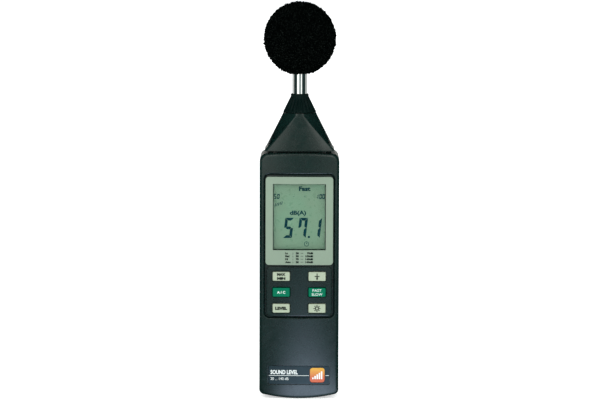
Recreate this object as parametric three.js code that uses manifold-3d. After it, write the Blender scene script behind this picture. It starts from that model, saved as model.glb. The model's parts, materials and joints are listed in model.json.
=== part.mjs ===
// Handheld sound level meter, standing upright: display towards -Y, microphone towards +Z.
// Millimetres. The origin is on the microphone's axis, at the height of the case's lowest line.
import * as THREE from 'three';
import { ConvexGeometry } from 'three/addons/geometries/ConvexGeometry.js';
import { mergeVertices } from 'three/addons/utils/BufferGeometryUtils.js';
import Module from 'manifold-3d';

const wasm = await Module();
wasm.setup();

// Clearances and walls
const GAP = 0.3;
const WALL = 2.4;
const FACE_WALL = 3;
const OVERSHOOT = 1;
const WELD = 1e-4;

// Case
const CASE_HALF = 34;
const FRONT_Y = -24;
const BACK_Y = 26;
const PARTING_Y = 1;
const EDGE_ROUND = 2.6;
const CASE_TOP = 211.4;
const TOP_BOW = 0.8;
const BOTTOM_BOW = 3;
const FOOT_FLAT = 13;
const FOOT_ROUND = 5;
const SHOULDER_START = 203.5;
const SHOULDER_HALF = 29.5;
const SHOULDER_CONTROL = 209.3;
const OUTLINE_STEPS = 7;
const EDGE_STEPS = 3;
const INSIDE_FRONT = FRONT_Y + FACE_WALL;
const INSIDE_BACK = BACK_Y - WALL;

// Nose, between the case and the microphone's collar
const NOSE_BASE = 212.6;
const NOSE_TOP = 244.4;
const NOSE_HALF = 29.7;
const NOSE_FRONT = -20;
const NOSE_BACK = 21;
const NOSE_CORNER = 2.5;
const NOSE_RIM = 1;
const NOSE_PLATE = 2.4;
const NOSE_SIDES = 24;
const NECK_HALF = 24;
const NECK_FRONT = -16.5;
const NECK_BACK = 17.5;
const NECK_LOW = 207.3;
const COLLAR_LOW_RADIUS = 14.2;

// Microphone
const COLLAR_TOP_RADIUS = 7.4;
const COLLAR_TOP = 260.7;
const COLLAR_RIM = 1.8;
const COLLAR_FOOT = [0.2, 1.2];
const COLLAR_FLARE = 0.5;
const FLUTES = 24;
const FLUTE_STEPS = 2;
const FLUTE_DEPTH = 0.75;
const MIC_RADIUS = 6.35;
const TUBE_BORE = 5.6;
const TUBE_LOW = 228;
const TUBE_TOP = 296.3;
const FLANGE_LOW = 236;
const FLANGE_TOP = 238.2;
const FLANGE_RADIUS = 8.6;
const CAPSULE_TOP = 305.6;
const CAPSULE_BORE = 5.2;
const BACKPLATE = [300, 303.4];
const DIAPHRAGM = [304, 304.4];
const PREAMP_BOARD = { halfX: 4.5, halfY: 0.6, low: 232, top: 294 };
const MIC_TIP = 309;
const GRID_CHAMFER = 0.6;
const GRID_THICK = 0.9;
const GRID_SLOT = { half: 5, halfWidth: 0.4, depth: 2 };
const SCREEN_RADIUS = 31.3;
const SCREEN_Z = 308;
const SCREEN_BORE = 6.7;
const SCREEN_BORE_TOP = 311.5;
const SCREEN_STEPS = 13;
const LEAD_RADIUS = 1.1;
const LEAD_ROUTE = [[0, 0, 231], [0, 0, 222], [1.5, -3, 210], [8, -7, 200], [10, -9, 192]];

// Display
const FRAME_HALF = 30.7;
const FRAME_LOW = 69.2;
const FRAME_TOP = 194.4;
const FRAME_CORNER = 5.4;
const FRAME_DEPTH = 1.4;
const WINDOW_HALF = 28.8;
const WINDOW_LOW = 115.6;
const WINDOW_TOP = 191.2;
const WINDOW_CORNER = 2.8;
const WINDOW_THICK = 1;
const VIEW_HALF = 22.5;
const VIEW_LOW = 128.4;
const VIEW_TOP = 185;
const GLASS_HALF = 26;
const GLASS_LOW = 123.5;
const GLASS_TOP = 190.1;
const GLASS_THICK = 2.2;
const GLASS_SETBACK = 1.4;
const GASKET = { half: 25.2, low: 126.1, top: 188.1, border: 1.9 };
const HOLDER = { half: 28, border: 1.7, reach: 2, setback: 0.4 };
const BACKLIGHT = { half: 24, low: 127.5, top: 186.5, thick: 2.6 };
const ZEBRA = { half: 23, height: 2.2, topLow: 187, bottomLow: 124.6 };

// Keypad
const ISLAND_HALF = 27.9;
const ISLAND_LOW = 71.8;
const ISLAND_TOP = 113.8;
const ISLAND_CORNER = 3.4;
const KEY_X = 15.3;
const KEY_ROWS = [106, 92.3, 78.5];
const KEY_HALF = [7.2, 3.75];
const KEY_CORNER = 0.8;
const KEY_PROUD = 1.3;
const KEY_CLEARANCE = 0.6;
const KEY_FLANGE = 1.2;
const KEY_FLANGE_THICK = 0.8;
const KEY_TRAVEL = 0.9;
const MAT = { half: 25, low: 71.5, top: 113, corner: 2, thick: 1.2 };
const STEM_RADIUS = 3;
const STEM_ROOT = 0.5;

// Title label and badge
const LABEL_HALF = 26.5;
const LABEL_LOW = 12.1;
const LABEL_TOP = 28.7;
const LABEL_DEPTH = 0.9;
const LABEL_THICK = 0.5;
const LABEL_CORNER = 1.6;
const BADGE_X = 15.8;
const BADGE_HALF = 6.3;
const BADGE_CORNER = 2.4;

// Main board
const BOARD_HALF = 28.6;
const BOARD_LOW = 63;
const BOARD_TOP = 199.5;
const BOARD_FRONT = -12.3;
const BOARD_THICK = 1.6;
const BOARD_REAR = BOARD_FRONT + BOARD_THICK;
const PART_REST = BOARD_REAR + GAP;
const BOARD_CORNER = 1.5;
const BOARD_BOSS_RADIUS = 2.6;
const BOARD_SCREWS = [[-25.4, 196.3], [25.4, 196.3], [-25.4, 67], [25.4, 67]];
const BOARD_PARTS = [
  { name: 'shield_can', at: [-11, 177], size: [28, 30], height: 5, material: 'tin' },
  { name: 'microcontroller', at: [-10, 142], size: [14, 14], height: 1.6, material: 'chip' },
  { name: 'level_converter', at: [-12, 118], size: [10.3, 7.5], height: 2.4, material: 'chip' },
  { name: 'op_amp', at: [8, 120], size: [5, 6.2], height: 1.8, material: 'chip' },
  { name: 'crystal', at: [6, 142], size: [4.6, 11], height: 3.6, material: 'tin' },
  { name: 'regulator', at: [6, 100], size: [6.5, 6.2], height: 2.3, material: 'chip' },
];
const CAPACITORS = [[-20, 96], [-11, 96], [18, 108]];
const CAPACITOR_RADIUS = 3.2;
const CAPACITOR_HEIGHT = 8;

// Sockets on the right-hand side
const SOCKET_Y = -5.4;
const SOCKET_HALF = 5;
const SOCKET_BACK_X = 19;
const BORE_FLOOR = 2;
const SOCKET_FACE_X = CASE_HALF - WALL - GAP;
const BARREL_X = CASE_HALF - 0.7;
const JACKS = { output_jack_ac: 152, output_jack_dc: 164.5 };
const JACK_BARREL = 3;
const JACK_BORE = 1.8;
const POWER_Z = 178;
const POWER_BARREL = 4.2;
const POWER_BORE = 3;
const POWER_BORE_FLOOR = 3;
const POWER_PIN = 1;
const POWER_PIN_SETBACK = 1.5;
const TRIMMER_Z = 140;
const TRIMMER_HALF = 3.9;
const TRIMMER_BACK_X = 23;
const ROTOR_RADIUS = 1.9;
const ROTOR_SETBACK = 1.6;
const ROTOR_SLOT = { depth: 0.9, half: 3, halfWidth: 0.3 };

// Battery bay
const COVER_HALF = 17;
const COVER_LOW = 12;
const COVER_TOP = 74;
const COVER_THICK = 2;
const COVER_CORNER = 2;
const TAB = { x: 9, half: 3, thick: 1.2, reach: 1.6, root: 3.5, weld: 0.4 };
const TAB_SLOT = { clearance: 0.4, depth: 2.6, reach: 2.4 };
const SHELL_LIP = 3;
const THUMB_NOTCH = { radius: 3, rise: 2.1, drop: 7, half: 8 };
const BAY_HALF = 14.3;
const BAY_LOW = 14.4;
const BAY_TOP = 71.6;
const BAY_FRONT = 4;
const BAY_WALL = 1.4;
const BATTERY_HALF = 13.2;
const BATTERY_FRONT = 4.6;
const BATTERY_BACK = 22.1;
const BATTERY_LOW = 15;
const BATTERY_TOP = 61.4;
const BATTERY_CORNER = 1.5;
const SNAP = { top: 66, half: 6.3, corner: 1.2 };
const NOTCH = { half: 6, low: 66.6 };
const WIRE_RADIUS = 0.8;
const WIRE_X = 3;
const PAD = { half: 10, front: 22.7, low: 25, top: 55 };

// Back of the case
const CASE_SCREWS = [[-24.4, 203.5], [24.4, 203.5], [-25.5, 54.5], [25.5, 54.5]];
const BOSS_RADIUS = 3.4;
const SCREW_SHANK = 1.25;
const SCREW_HEAD = 2.7;
const SCREW_HEAD_THICK = 2;
const SCREW_SEAT_Y = 22.8;
const SCREW_LENGTH = 30;
const PILOT_DEPTH = 14;
const HEAD_FLAT = 0.7;
const HEAD_SIDE = 0.6;
const CROSS_SLOT = { half: 0.6, floor: 0.5, halfWidth: 0.3 };
const BOARD_SCREW = { head: 2, headThick: 1.3, shank: 0.95, length: 7 };
const INSERT_Z = 138;
const INSERT_RADIUS = 6;
const INSERT_BORE = 3.175;
const INSERT_DEPTH = 10;
const INSERT_WALL = 2;
const INSERT_SETBACK = 0.2;

const MATERIALS = {
  case: plastic(0x39494b, 0.62),
  rubber: plastic(0x101414, 0.8),
  foam: plastic(0x080a0a, 1),
  beige: plastic(0xc4cbb2, 0.6),
  green: plastic(0x00805c, 0.6),
  window: plastic(0x9bac9b, 0.35),
  label: plastic(0x3b434b, 0.5),
  badge: plastic(0xd9a21b, 0.4),
  board: plastic(0x1d6b45, 0.5),
  chip: plastic(0x17181a, 0.5),
  socket: plastic(0x121314, 0.45),
  white: plastic(0xe6e8e2, 0.4),
  red: plastic(0xb3241f, 0.5),
  glass: plastic(0x76917a, 0.15),
  chrome: metal(0xd9dfe2, 0.12),
  steel: metal(0xb8bcc0, 0.35),
  tin: metal(0xc4c7c9, 0.4),
  brass: metal(0xc9a25a, 0.35),
  cell: metal(0x33373d, 0.4),
};

function plastic(color, roughness) {
  return new THREE.MeshStandardMaterial({ color, roughness, metalness: 0 });
}

function metal(color, roughness) {
  return new THREE.MeshStandardMaterial({ color, roughness, metalness: 1 });
}

// ---- Solids ----

// A closed geometry, with its shared corners merged, as a solid to join and cut.
function solid(geometry) {
  const bare = geometry.clone();
  bare.deleteAttribute('normal');
  bare.deleteAttribute('uv');
  const welded = mergeVertices(bare, WELD);
  const triangles = [];
  for (let i = 0; i < welded.index.count; i += 3) {
    const corners = [0, 1, 2].map((k) => welded.index.getX(i + k));
    if (new Set(corners).size === 3) triangles.push(...corners);
  }
  return new wasm.Manifold(new wasm.Mesh({
    numProp: 3,
    vertProperties: Float32Array.from(welded.attributes.position.array),
    triVerts: Uint32Array.from(triangles),
  }));
}

function surface(body) {
  const faces = body.getMesh();
  const geometry = new THREE.BufferGeometry();
  geometry.setAttribute('position', new THREE.BufferAttribute(faces.vertProperties, 3));
  geometry.setIndex(new THREE.BufferAttribute(faces.triVerts, 1));
  geometry.computeVertexNormals();
  return geometry;
}

function join(body, tools) {
  return tools.reduce((sum, tool) => sum.add(tool), body);
}

function cut(body, tools) {
  return tools.reduce((rest, tool) => rest.subtract(tool), body);
}

function block([x0, x1], [y0, y1], [z0, z1]) {
  const box = new THREE.BoxGeometry(x1 - x0, y1 - y0, z1 - z0);
  return box.translate((x0 + x1) / 2, (y0 + y1) / 2, (z0 + z1) / 2);
}

// A shape drawn in X and Z, as a slab between two depths.
function slab(shape, front, back, steps = 2) {
  const options = { depth: back - front, bevelEnabled: false, curveSegments: steps };
  return new THREE.ExtrudeGeometry(shape, options).rotateX(Math.PI / 2).translate(0, back, 0);
}

// A shape drawn in X and Y, as a prism between two heights.
function prism(shape, low, top, steps = 2) {
  const options = { depth: top - low, bevelEnabled: false, curveSegments: steps };
  return new THREE.ExtrudeGeometry(shape, options).translate(0, 0, low);
}

// A round bar along Y, X or Z.
function barAlongY(radius, x, z, y0, y1, sides = 16) {
  return new THREE.CylinderGeometry(radius, radius, y1 - y0, sides).translate(x, (y0 + y1) / 2, z);
}

function barAlongX(radius, y, z, x0, x1, sides = 16) {
  const bar = new THREE.CylinderGeometry(radius, radius, x1 - x0, sides).rotateZ(Math.PI / 2);
  return bar.translate((x0 + x1) / 2, y, z);
}

function barAlongZ(radius, z0, z1, sides = 24) {
  const bar = new THREE.CylinderGeometry(radius, radius, z1 - z0, sides).rotateX(Math.PI / 2);
  return bar.translate(0, 0, (z0 + z1) / 2);
}

// A profile of [radius, height] points turned about the microphone's axis.
function turned(profile, sides = 24) {
  const points = profile.map(([radius, height]) => new THREE.Vector2(radius, height));
  return new THREE.LatheGeometry(points, sides).rotateX(Math.PI / 2);
}

// A ring of square section about the microphone's axis.
function ring(inner, outer, low, top) {
  return turned([[inner, low], [outer, low], [outer, top], [inner, top], [inner, low]]);
}

function roundedRect(x0, x1, y0, y1, radius) {
  const shape = new THREE.Shape();
  shape.moveTo(x0 + radius, y0);
  shape.lineTo(x1 - radius, y0);
  shape.absarc(x1 - radius, y0 + radius, radius, -Math.PI / 2, 0);
  shape.absarc(x1 - radius, y1 - radius, radius, 0, Math.PI / 2);
  shape.absarc(x0 + radius, y1 - radius, radius, Math.PI / 2, Math.PI);
  shape.absarc(x0 + radius, y0 + radius, radius, Math.PI, 1.5 * Math.PI);
  return shape;
}

function wire(points, radius) {
  const path = new THREE.CatmullRomCurve3(points.map((point) => new THREE.Vector3(...point)));
  const section = new THREE.Shape().absarc(0, 0, radius, 0, 2 * Math.PI);
  return new THREE.ExtrudeGeometry(section, { extrudePath: path, steps: 12, curveSegments: 4 });
}

function part(name, geometry, material) {
  const mesh = new THREE.Mesh(geometry, MATERIALS[material]);
  mesh.name = name;
  return mesh;
}

function group(...parts) {
  return new THREE.Group().add(...parts);
}

// ---- Case ----

// The case seen from the front: straight sides, sloping shoulders, a bowed top, and a bottom
// that rises from a flat middle to its corners.
function caseOutline(inset) {
  const side = CASE_HALF - inset;
  const foot = BOTTOM_BOW + inset;
  const shoulder = SHOULDER_HALF - inset;
  const top = CASE_TOP - TOP_BOW - inset;
  const shape = new THREE.Shape();
  shape.moveTo(-side + FOOT_ROUND, foot);
  shape.quadraticCurveTo(-side / 2, inset, -FOOT_FLAT, inset);
  shape.lineTo(FOOT_FLAT, inset);
  shape.quadraticCurveTo(side / 2, inset, side - FOOT_ROUND, foot);
  shape.quadraticCurveTo(side, foot + BOTTOM_BOW / FOOT_ROUND, side, foot + FOOT_ROUND);
  shape.lineTo(side, SHOULDER_START);
  shape.quadraticCurveTo(side, SHOULDER_CONTROL - inset, shoulder, top);
  shape.quadraticCurveTo(0, top + 2 * TOP_BOW, -shoulder, top);
  shape.quadraticCurveTo(-side, SHOULDER_CONTROL - inset, -side, SHOULDER_START);
  shape.lineTo(-side, foot + FOOT_ROUND);
  shape.quadraticCurveTo(-side, foot + BOTTOM_BOW / FOOT_ROUND, -side + FOOT_ROUND, foot);
  return shape;
}

// The outside of both shells together, with its front and back edges rounded.
function caseOutside() {
  const bar = new THREE.ExtrudeGeometry(caseOutline(0), {
    depth: BACK_Y - FRONT_Y - 2 * EDGE_ROUND,
    bevelThickness: EDGE_ROUND,
    bevelSize: EDGE_ROUND,
    bevelOffset: -EDGE_ROUND,
    bevelSegments: EDGE_STEPS,
    curveSegments: OUTLINE_STEPS,
  });
  return solid(bar.rotateX(Math.PI / 2).translate(0, BACK_Y - EDGE_ROUND, 0));
}

// The half of a shell's wall in front of, or behind, the parting plane, with the neck's opening.
function shellWall(low, high, neckGap) {
  const half = solid(block([-100, 100], [low, high], [-100, 400]));
  const cavity = solid(slab(caseOutline(WALL), INSIDE_FRONT, INSIDE_BACK, OUTLINE_STEPS));
  const neck = roundedRect(
    -NECK_HALF - neckGap, NECK_HALF + neckGap, NECK_FRONT - neckGap, NECK_BACK + neckGap, NOSE_CORNER,
  );
  const opening = solid(prism(neck, CASE_TOP - WALL - OVERSHOOT, CASE_TOP + OVERSHOOT));
  return cut(caseOutside(), [cavity, opening]).intersect(half);
}

function keyCentres() {
  return KEY_ROWS.flatMap((z) => [[-KEY_X, z], [KEY_X, z]]);
}

function keyOutline(grow) {
  const [halfX, halfZ] = KEY_HALF;
  return roundedRect(-halfX - grow, halfX + grow, -halfZ - grow, halfZ + grow, KEY_CORNER + grow / 2);
}

function frontShell() {
  const frame = solid(slab(
    roundedRect(-FRAME_HALF, FRAME_HALF, FRAME_LOW, FRAME_TOP, FRAME_CORNER),
    FRONT_Y - OVERSHOOT, FRONT_Y + FRAME_DEPTH,
  ));
  const island = solid(slab(
    roundedRect(-ISLAND_HALF, ISLAND_HALF, ISLAND_LOW, ISLAND_TOP, ISLAND_CORNER),
    FRONT_Y - 2 * OVERSHOOT, FRONT_Y + FRAME_DEPTH + OVERSHOOT,
  ));
  const view = solid(block(
    [-VIEW_HALF - GAP, VIEW_HALF + GAP], [FRONT_Y - OVERSHOOT, INSIDE_FRONT + OVERSHOOT],
    [VIEW_LOW - GAP, VIEW_TOP + GAP],
  ));
  const keyHoles = keyCentres().map(([x, z]) => solid(
    slab(keyOutline(KEY_CLEARANCE), FRONT_Y - OVERSHOOT, INSIDE_FRONT + OVERSHOOT).translate(x, 0, z),
  ));
  const label = solid(slab(
    roundedRect(-LABEL_HALF, LABEL_HALF, LABEL_LOW, LABEL_TOP, LABEL_CORNER),
    FRONT_Y - OVERSHOOT, FRONT_Y + LABEL_DEPTH,
  ));
  const sockets = Object.values(JACKS).map((z) => [JACK_BARREL, z]);
  const rounds = [...sockets, [POWER_BARREL, POWER_Z], [ROTOR_RADIUS, TRIMMER_Z]];
  const sideHoles = rounds.map(([radius, z]) => solid(
    barAlongX(radius + GAP, SOCKET_Y, z, CASE_HALF - WALL - OVERSHOOT, CASE_HALF + OVERSHOOT),
  ));
  const wall = shellWall(FRONT_Y, PARTING_Y - GAP / 2, GAP);
  const open = cut(wall, [frame.subtract(island), view, ...keyHoles, label, ...sideHoles]);
  const boardBosses = BOARD_SCREWS.map(([x, z]) => solid(
    barAlongY(BOARD_BOSS_RADIUS, x, z, INSIDE_FRONT - OVERSHOOT, BOARD_FRONT - GAP, 12),
  ));
  const caseBosses = CASE_SCREWS.map(([x, z]) => solid(
    barAlongY(BOSS_RADIUS, x, z, INSIDE_FRONT - OVERSHOOT, PARTING_Y - GAP / 2, 12),
  ));
  const boardPilots = BOARD_SCREWS.map(([x, z]) => solid(
    barAlongY(BOARD_SCREW.shank + GAP, x, z, INSIDE_FRONT, BOARD_FRONT, 10),
  ));
  const casePilots = CASE_SCREWS.map(([x, z]) => solid(
    barAlongY(SCREW_SHANK + GAP, x, z, PARTING_Y - PILOT_DEPTH, PARTING_Y, 10),
  ));
  return surface(cut(join(open, [...boardBosses, ...caseBosses]), [...boardPilots, ...casePilots]));
}

function rearShell() {
  const wall = shellWall(PARTING_Y + GAP / 2, BACK_Y, GAP);
  const bay = solid(block(
    [-BAY_HALF - BAY_WALL, BAY_HALF + BAY_WALL], [BAY_FRONT - BAY_WALL, INSIDE_BACK + OVERSHOOT],
    [BAY_LOW - BAY_WALL, BAY_TOP + BAY_WALL],
  ));
  const coverRim = solid(block(
    [-COVER_HALF - BAY_WALL, COVER_HALF + BAY_WALL], [INSIDE_BACK - BAY_WALL, INSIDE_BACK + OVERSHOOT],
    [COVER_LOW - BAY_WALL, COVER_TOP + BAY_WALL],
  ));
  const bayHollow = solid(block([-BAY_HALF, BAY_HALF], [BAY_FRONT, BACK_Y], [BAY_LOW, BAY_TOP]));
  const coverSeat = solid(slab(
    roundedRect(-COVER_HALF - GAP, COVER_HALF + GAP, COVER_LOW - GAP, COVER_TOP + GAP, COVER_CORNER),
    BACK_Y - COVER_THICK - GAP, BACK_Y + OVERSHOOT,
  ));
  const slotHalf = TAB.half + TAB_SLOT.clearance;
  const tabSlots = [-TAB.x, TAB.x].map((x) => solid(block(
    [x - slotHalf, x + slotHalf], [INSIDE_BACK - TAB_SLOT.depth, INSIDE_BACK + GAP],
    [COVER_LOW - TAB_SLOT.reach, BAY_LOW + GAP],
  )));
  const leadNotch = solid(block(
    [-NOTCH.half, NOTCH.half], [BAY_FRONT - BAY_WALL - OVERSHOOT, BAY_FRONT + OVERSHOOT],
    [NOTCH.low, BAY_TOP],
  ));
  const bosses = CASE_SCREWS.map(([x, z]) => solid(
    barAlongY(BOSS_RADIUS, x, z, PARTING_Y + GAP / 2, BACK_Y - EDGE_ROUND / 2, 16),
  ));
  const screwHoles = CASE_SCREWS.map(([x, z]) => solid(
    barAlongY(SCREW_SHANK + GAP, x, z, PARTING_Y - OVERSHOOT, BACK_Y, 10),
  ));
  const headHoles = CASE_SCREWS.map(([x, z]) => solid(
    barAlongY(SCREW_HEAD + GAP, x, z, SCREW_SEAT_Y - SCREW_HEAD_THICK, BACK_Y + OVERSHOOT, 16),
  ));
  const insertBoss = solid(barAlongY(
    INSERT_RADIUS + INSERT_WALL, 0, INSERT_Z,
    BACK_Y - INSERT_DEPTH - INSERT_WALL, BACK_Y - EDGE_ROUND / 2, 24,
  ));
  const insertHole = solid(barAlongY(
    INSERT_RADIUS + GAP, 0, INSERT_Z, BACK_Y - INSERT_DEPTH - GAP, BACK_Y + OVERSHOOT, 24,
  ));
  const body = join(wall, [bay, coverRim, ...bosses, insertBoss]);
  const tools = [coverSeat, bayHollow, ...tabSlots, leadNotch, ...screwHoles, ...headHoles, insertHole];
  return surface(cut(body, tools));
}

// The cover rocks out about its lower outer edge, on two tabs that hook behind the shell.
function batteryCover() {
  const plate = solid(slab(
    roundedRect(-COVER_HALF, COVER_HALF, COVER_LOW, COVER_TOP, COVER_CORNER),
    BACK_Y - COVER_THICK, BACK_Y,
  ));
  const tabs = [-TAB.x, TAB.x].map((x) => solid(block(
    [x - TAB.half, x + TAB.half], [INSIDE_BACK - TAB.thick, BACK_Y - COVER_THICK + TAB.weld],
    [COVER_LOW - TAB.reach, COVER_LOW + TAB.root],
  )));
  const shellLip = solid(block(
    [-COVER_HALF, COVER_HALF], [INSIDE_BACK - GAP, BACK_Y], [COVER_LOW - SHELL_LIP, COVER_LOW],
  ));
  const thumbNotch = solid(barAlongX(
    THUMB_NOTCH.radius, BACK_Y + THUMB_NOTCH.rise, COVER_TOP - THUMB_NOTCH.drop,
    -THUMB_NOTCH.half, THUMB_NOTCH.half,
  ));
  return surface(cut(join(plate, tabs), [shellLip, thumbNotch]));
}

function titleLabel() {
  const plate = slab(
    roundedRect(
      -LABEL_HALF + GAP, LABEL_HALF - GAP, LABEL_LOW + GAP, LABEL_TOP - GAP, LABEL_CORNER - GAP,
    ),
    FRONT_Y + LABEL_DEPTH - GAP - LABEL_THICK, FRONT_Y + LABEL_DEPTH - GAP,
  );
  const seat = slab(badgeOutline(GAP), FRONT_Y - OVERSHOOT, FRONT_Y + LABEL_DEPTH);
  return surface(solid(plate).subtract(solid(seat)));
}

function badgeOutline(grow) {
  const half = BADGE_HALF + grow;
  const middle = (LABEL_LOW + LABEL_TOP) / 2;
  return roundedRect(BADGE_X - half, BADGE_X + half, middle - half, middle + half, BADGE_CORNER);
}

function badge() {
  return slab(badgeOutline(0), FRONT_Y - GAP / 2, FRONT_Y + LABEL_DEPTH - GAP);
}

// ---- Nose and microphone ----

// The hull of a rounded rectangle below and a circle above.
function noseHull(inset, low, top) {
  const section = roundedRect(
    -NOSE_HALF + inset, NOSE_HALF - inset, NOSE_FRONT + inset, NOSE_BACK - inset, NOSE_CORNER,
  );
  const base = section.getPoints(2);
  const radius = COLLAR_LOW_RADIUS - inset;
  const points = [];
  for (const { x, y } of base) {
    points.push(new THREE.Vector3(x, y, low), new THREE.Vector3(x, y, low + NOSE_RIM));
  }
  for (let i = 0; i < NOSE_SIDES; i += 1) {
    const turn = (2 * Math.PI * i) / NOSE_SIDES;
    points.push(new THREE.Vector3(radius * Math.cos(turn), radius * Math.sin(turn), top));
  }
  return solid(new ConvexGeometry(points));
}

function noseCone() {
  const outside = noseHull(0, NOSE_BASE, NOSE_TOP);
  const inside = noseHull(WALL, NOSE_BASE - OVERSHOOT, NOSE_TOP - NOSE_PLATE);
  const bore = solid(barAlongZ(
    MIC_RADIUS + GAP, NOSE_TOP - NOSE_PLATE - OVERSHOOT, NOSE_TOP + OVERSHOOT,
  ));
  const plate = solid(block(
    [-NOSE_HALF + WALL / 2, NOSE_HALF - WALL / 2], [NOSE_FRONT + WALL / 2, NOSE_BACK - WALL / 2],
    [NOSE_BASE, NOSE_BASE + NOSE_RIM],
  ));
  const neck = solid(prism(
    roundedRect(-NECK_HALF, NECK_HALF, NECK_FRONT, NECK_BACK, NOSE_CORNER), NECK_LOW, NOSE_BASE + NOSE_RIM,
  ));
  const throat = solid(prism(roundedRect(
    -NECK_HALF + WALL, NECK_HALF - WALL, NECK_FRONT + WALL, NECK_BACK - WALL, NOSE_CORNER / 2,
  ), NECK_LOW - OVERSHOOT, NOSE_BASE + 2 * NOSE_RIM));
  return surface(cut(join(outside.subtract(inside), [plate, neck]), [throat, bore]));
}

// A cone with a smooth rim, and flutes that run down it and fade out under the rim.
function microphoneCollar() {
  const low = NOSE_TOP + GAP;
  const rimLow = COLLAR_TOP - COLLAR_RIM;
  const [footInset, footHeight] = COLLAR_FOOT;
  const profile = [
    [MIC_RADIUS + GAP, low], [COLLAR_LOW_RADIUS, low], [COLLAR_LOW_RADIUS - footInset, low + footHeight],
    [COLLAR_TOP_RADIUS + COLLAR_FLARE, rimLow], [COLLAR_TOP_RADIUS, COLLAR_TOP],
    [MIC_RADIUS + GAP, COLLAR_TOP], [MIC_RADIUS + GAP, low],
  ];
  const geometry = turned(profile, FLUTES * FLUTE_STEPS);
  const place = geometry.attributes.position;
  for (let i = 0; i < place.count; i += 1) {
    const radius = Math.hypot(place.getX(i), place.getY(i));
    const turn = Math.atan2(place.getY(i), place.getX(i));
    const fluted = radius > COLLAR_TOP_RADIUS + GAP;
    const deepest = fluted ? FLUTE_DEPTH * (radius / COLLAR_LOW_RADIUS) : 0;
    const depth = deepest * (0.5 + 0.5 * Math.cos(FLUTES * turn));
    place.setX(i, place.getX(i) * (1 - depth / radius));
    place.setY(i, place.getY(i) * (1 - depth / radius));
  }
  return surface(solid(geometry));
}

function preampTube() {
  return turned([
    [TUBE_BORE, TUBE_LOW], [MIC_RADIUS, TUBE_LOW], [MIC_RADIUS, FLANGE_LOW], [FLANGE_RADIUS, FLANGE_LOW],
    [FLANGE_RADIUS, FLANGE_TOP], [MIC_RADIUS, FLANGE_TOP], [MIC_RADIUS, TUBE_TOP], [TUBE_BORE, TUBE_TOP],
    [TUBE_BORE, TUBE_LOW],
  ]);
}

function protectionGrid() {
  const low = CAPSULE_TOP + GAP;
  const cap = turned([
    [CAPSULE_BORE, low], [MIC_RADIUS, low], [MIC_RADIUS, MIC_TIP - GRID_CHAMFER],
    [MIC_RADIUS - GRID_CHAMFER, MIC_TIP], [0, MIC_TIP], [0, MIC_TIP - GRID_THICK],
    [CAPSULE_BORE, MIC_TIP - GRID_THICK], [CAPSULE_BORE, low],
  ]);
  const slots = [0, 60, 120].map((degrees) => {
    const slot = block(
      [-GRID_SLOT.half, GRID_SLOT.half], [-GRID_SLOT.halfWidth, GRID_SLOT.halfWidth],
      [MIC_TIP - GRID_SLOT.depth, MIC_TIP + OVERSHOOT],
    );
    return solid(slot.rotateZ(THREE.MathUtils.degToRad(degrees)));
  });
  return surface(cut(solid(cap), slots));
}

// A foam ball with a blind hole that slides over the microphone.
function windscreen() {
  const mouth = Math.asin(SCREEN_BORE / SCREEN_RADIUS);
  const profile = [[0, SCREEN_BORE_TOP], [SCREEN_BORE, SCREEN_BORE_TOP]];
  for (let i = 0; i <= SCREEN_STEPS; i += 1) {
    const turn = mouth + ((Math.PI - mouth) * i) / SCREEN_STEPS;
    profile.push([SCREEN_RADIUS * Math.sin(turn), SCREEN_Z - SCREEN_RADIUS * Math.cos(turn)]);
  }
  profile.at(-1)[0] = 0;
  return turned(profile);
}

function microphone() {
  const sealLow = FLANGE_TOP + GAP;
  const sealTop = NOSE_TOP - NOSE_PLATE - GAP;
  const { halfX, halfY } = PREAMP_BOARD;
  const amplifier = block([-halfX, halfX], [-halfY, halfY], [PREAMP_BOARD.low, PREAMP_BOARD.top]);
  return group(
    part('microphone_collar', microphoneCollar(), 'rubber'),
    part('preamp_tube', preampTube(), 'chrome'),
    part('tube_seal', ring(MIC_RADIUS + GAP, FLANGE_RADIUS, sealLow, sealTop), 'rubber'),
    part('microphone_capsule', ring(CAPSULE_BORE, MIC_RADIUS, TUBE_TOP + GAP, CAPSULE_TOP), 'chrome'),
    part('backplate', barAlongZ(CAPSULE_BORE - GAP, ...BACKPLATE), 'brass'),
    part('diaphragm', barAlongZ(CAPSULE_BORE - GAP, ...DIAPHRAGM), 'steel'),
    part('protection_grid', protectionGrid(), 'chrome'),
    part('preamp_board', amplifier, 'board'),
    part('microphone_lead', wire(LEAD_ROUTE, LEAD_RADIUS), 'chip'),
    part('windscreen', windscreen(), 'foam'),
  );
}

// ---- Display ----

function frameOf(halfX, low, top, border, front, back) {
  const outer = roundedRect(-halfX, halfX, low, top, 1.5);
  outer.holes.push(roundedRect(-halfX + border, halfX - border, low + border, top - border, 0.8));
  return slab(outer, front, back, 1);
}

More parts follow.
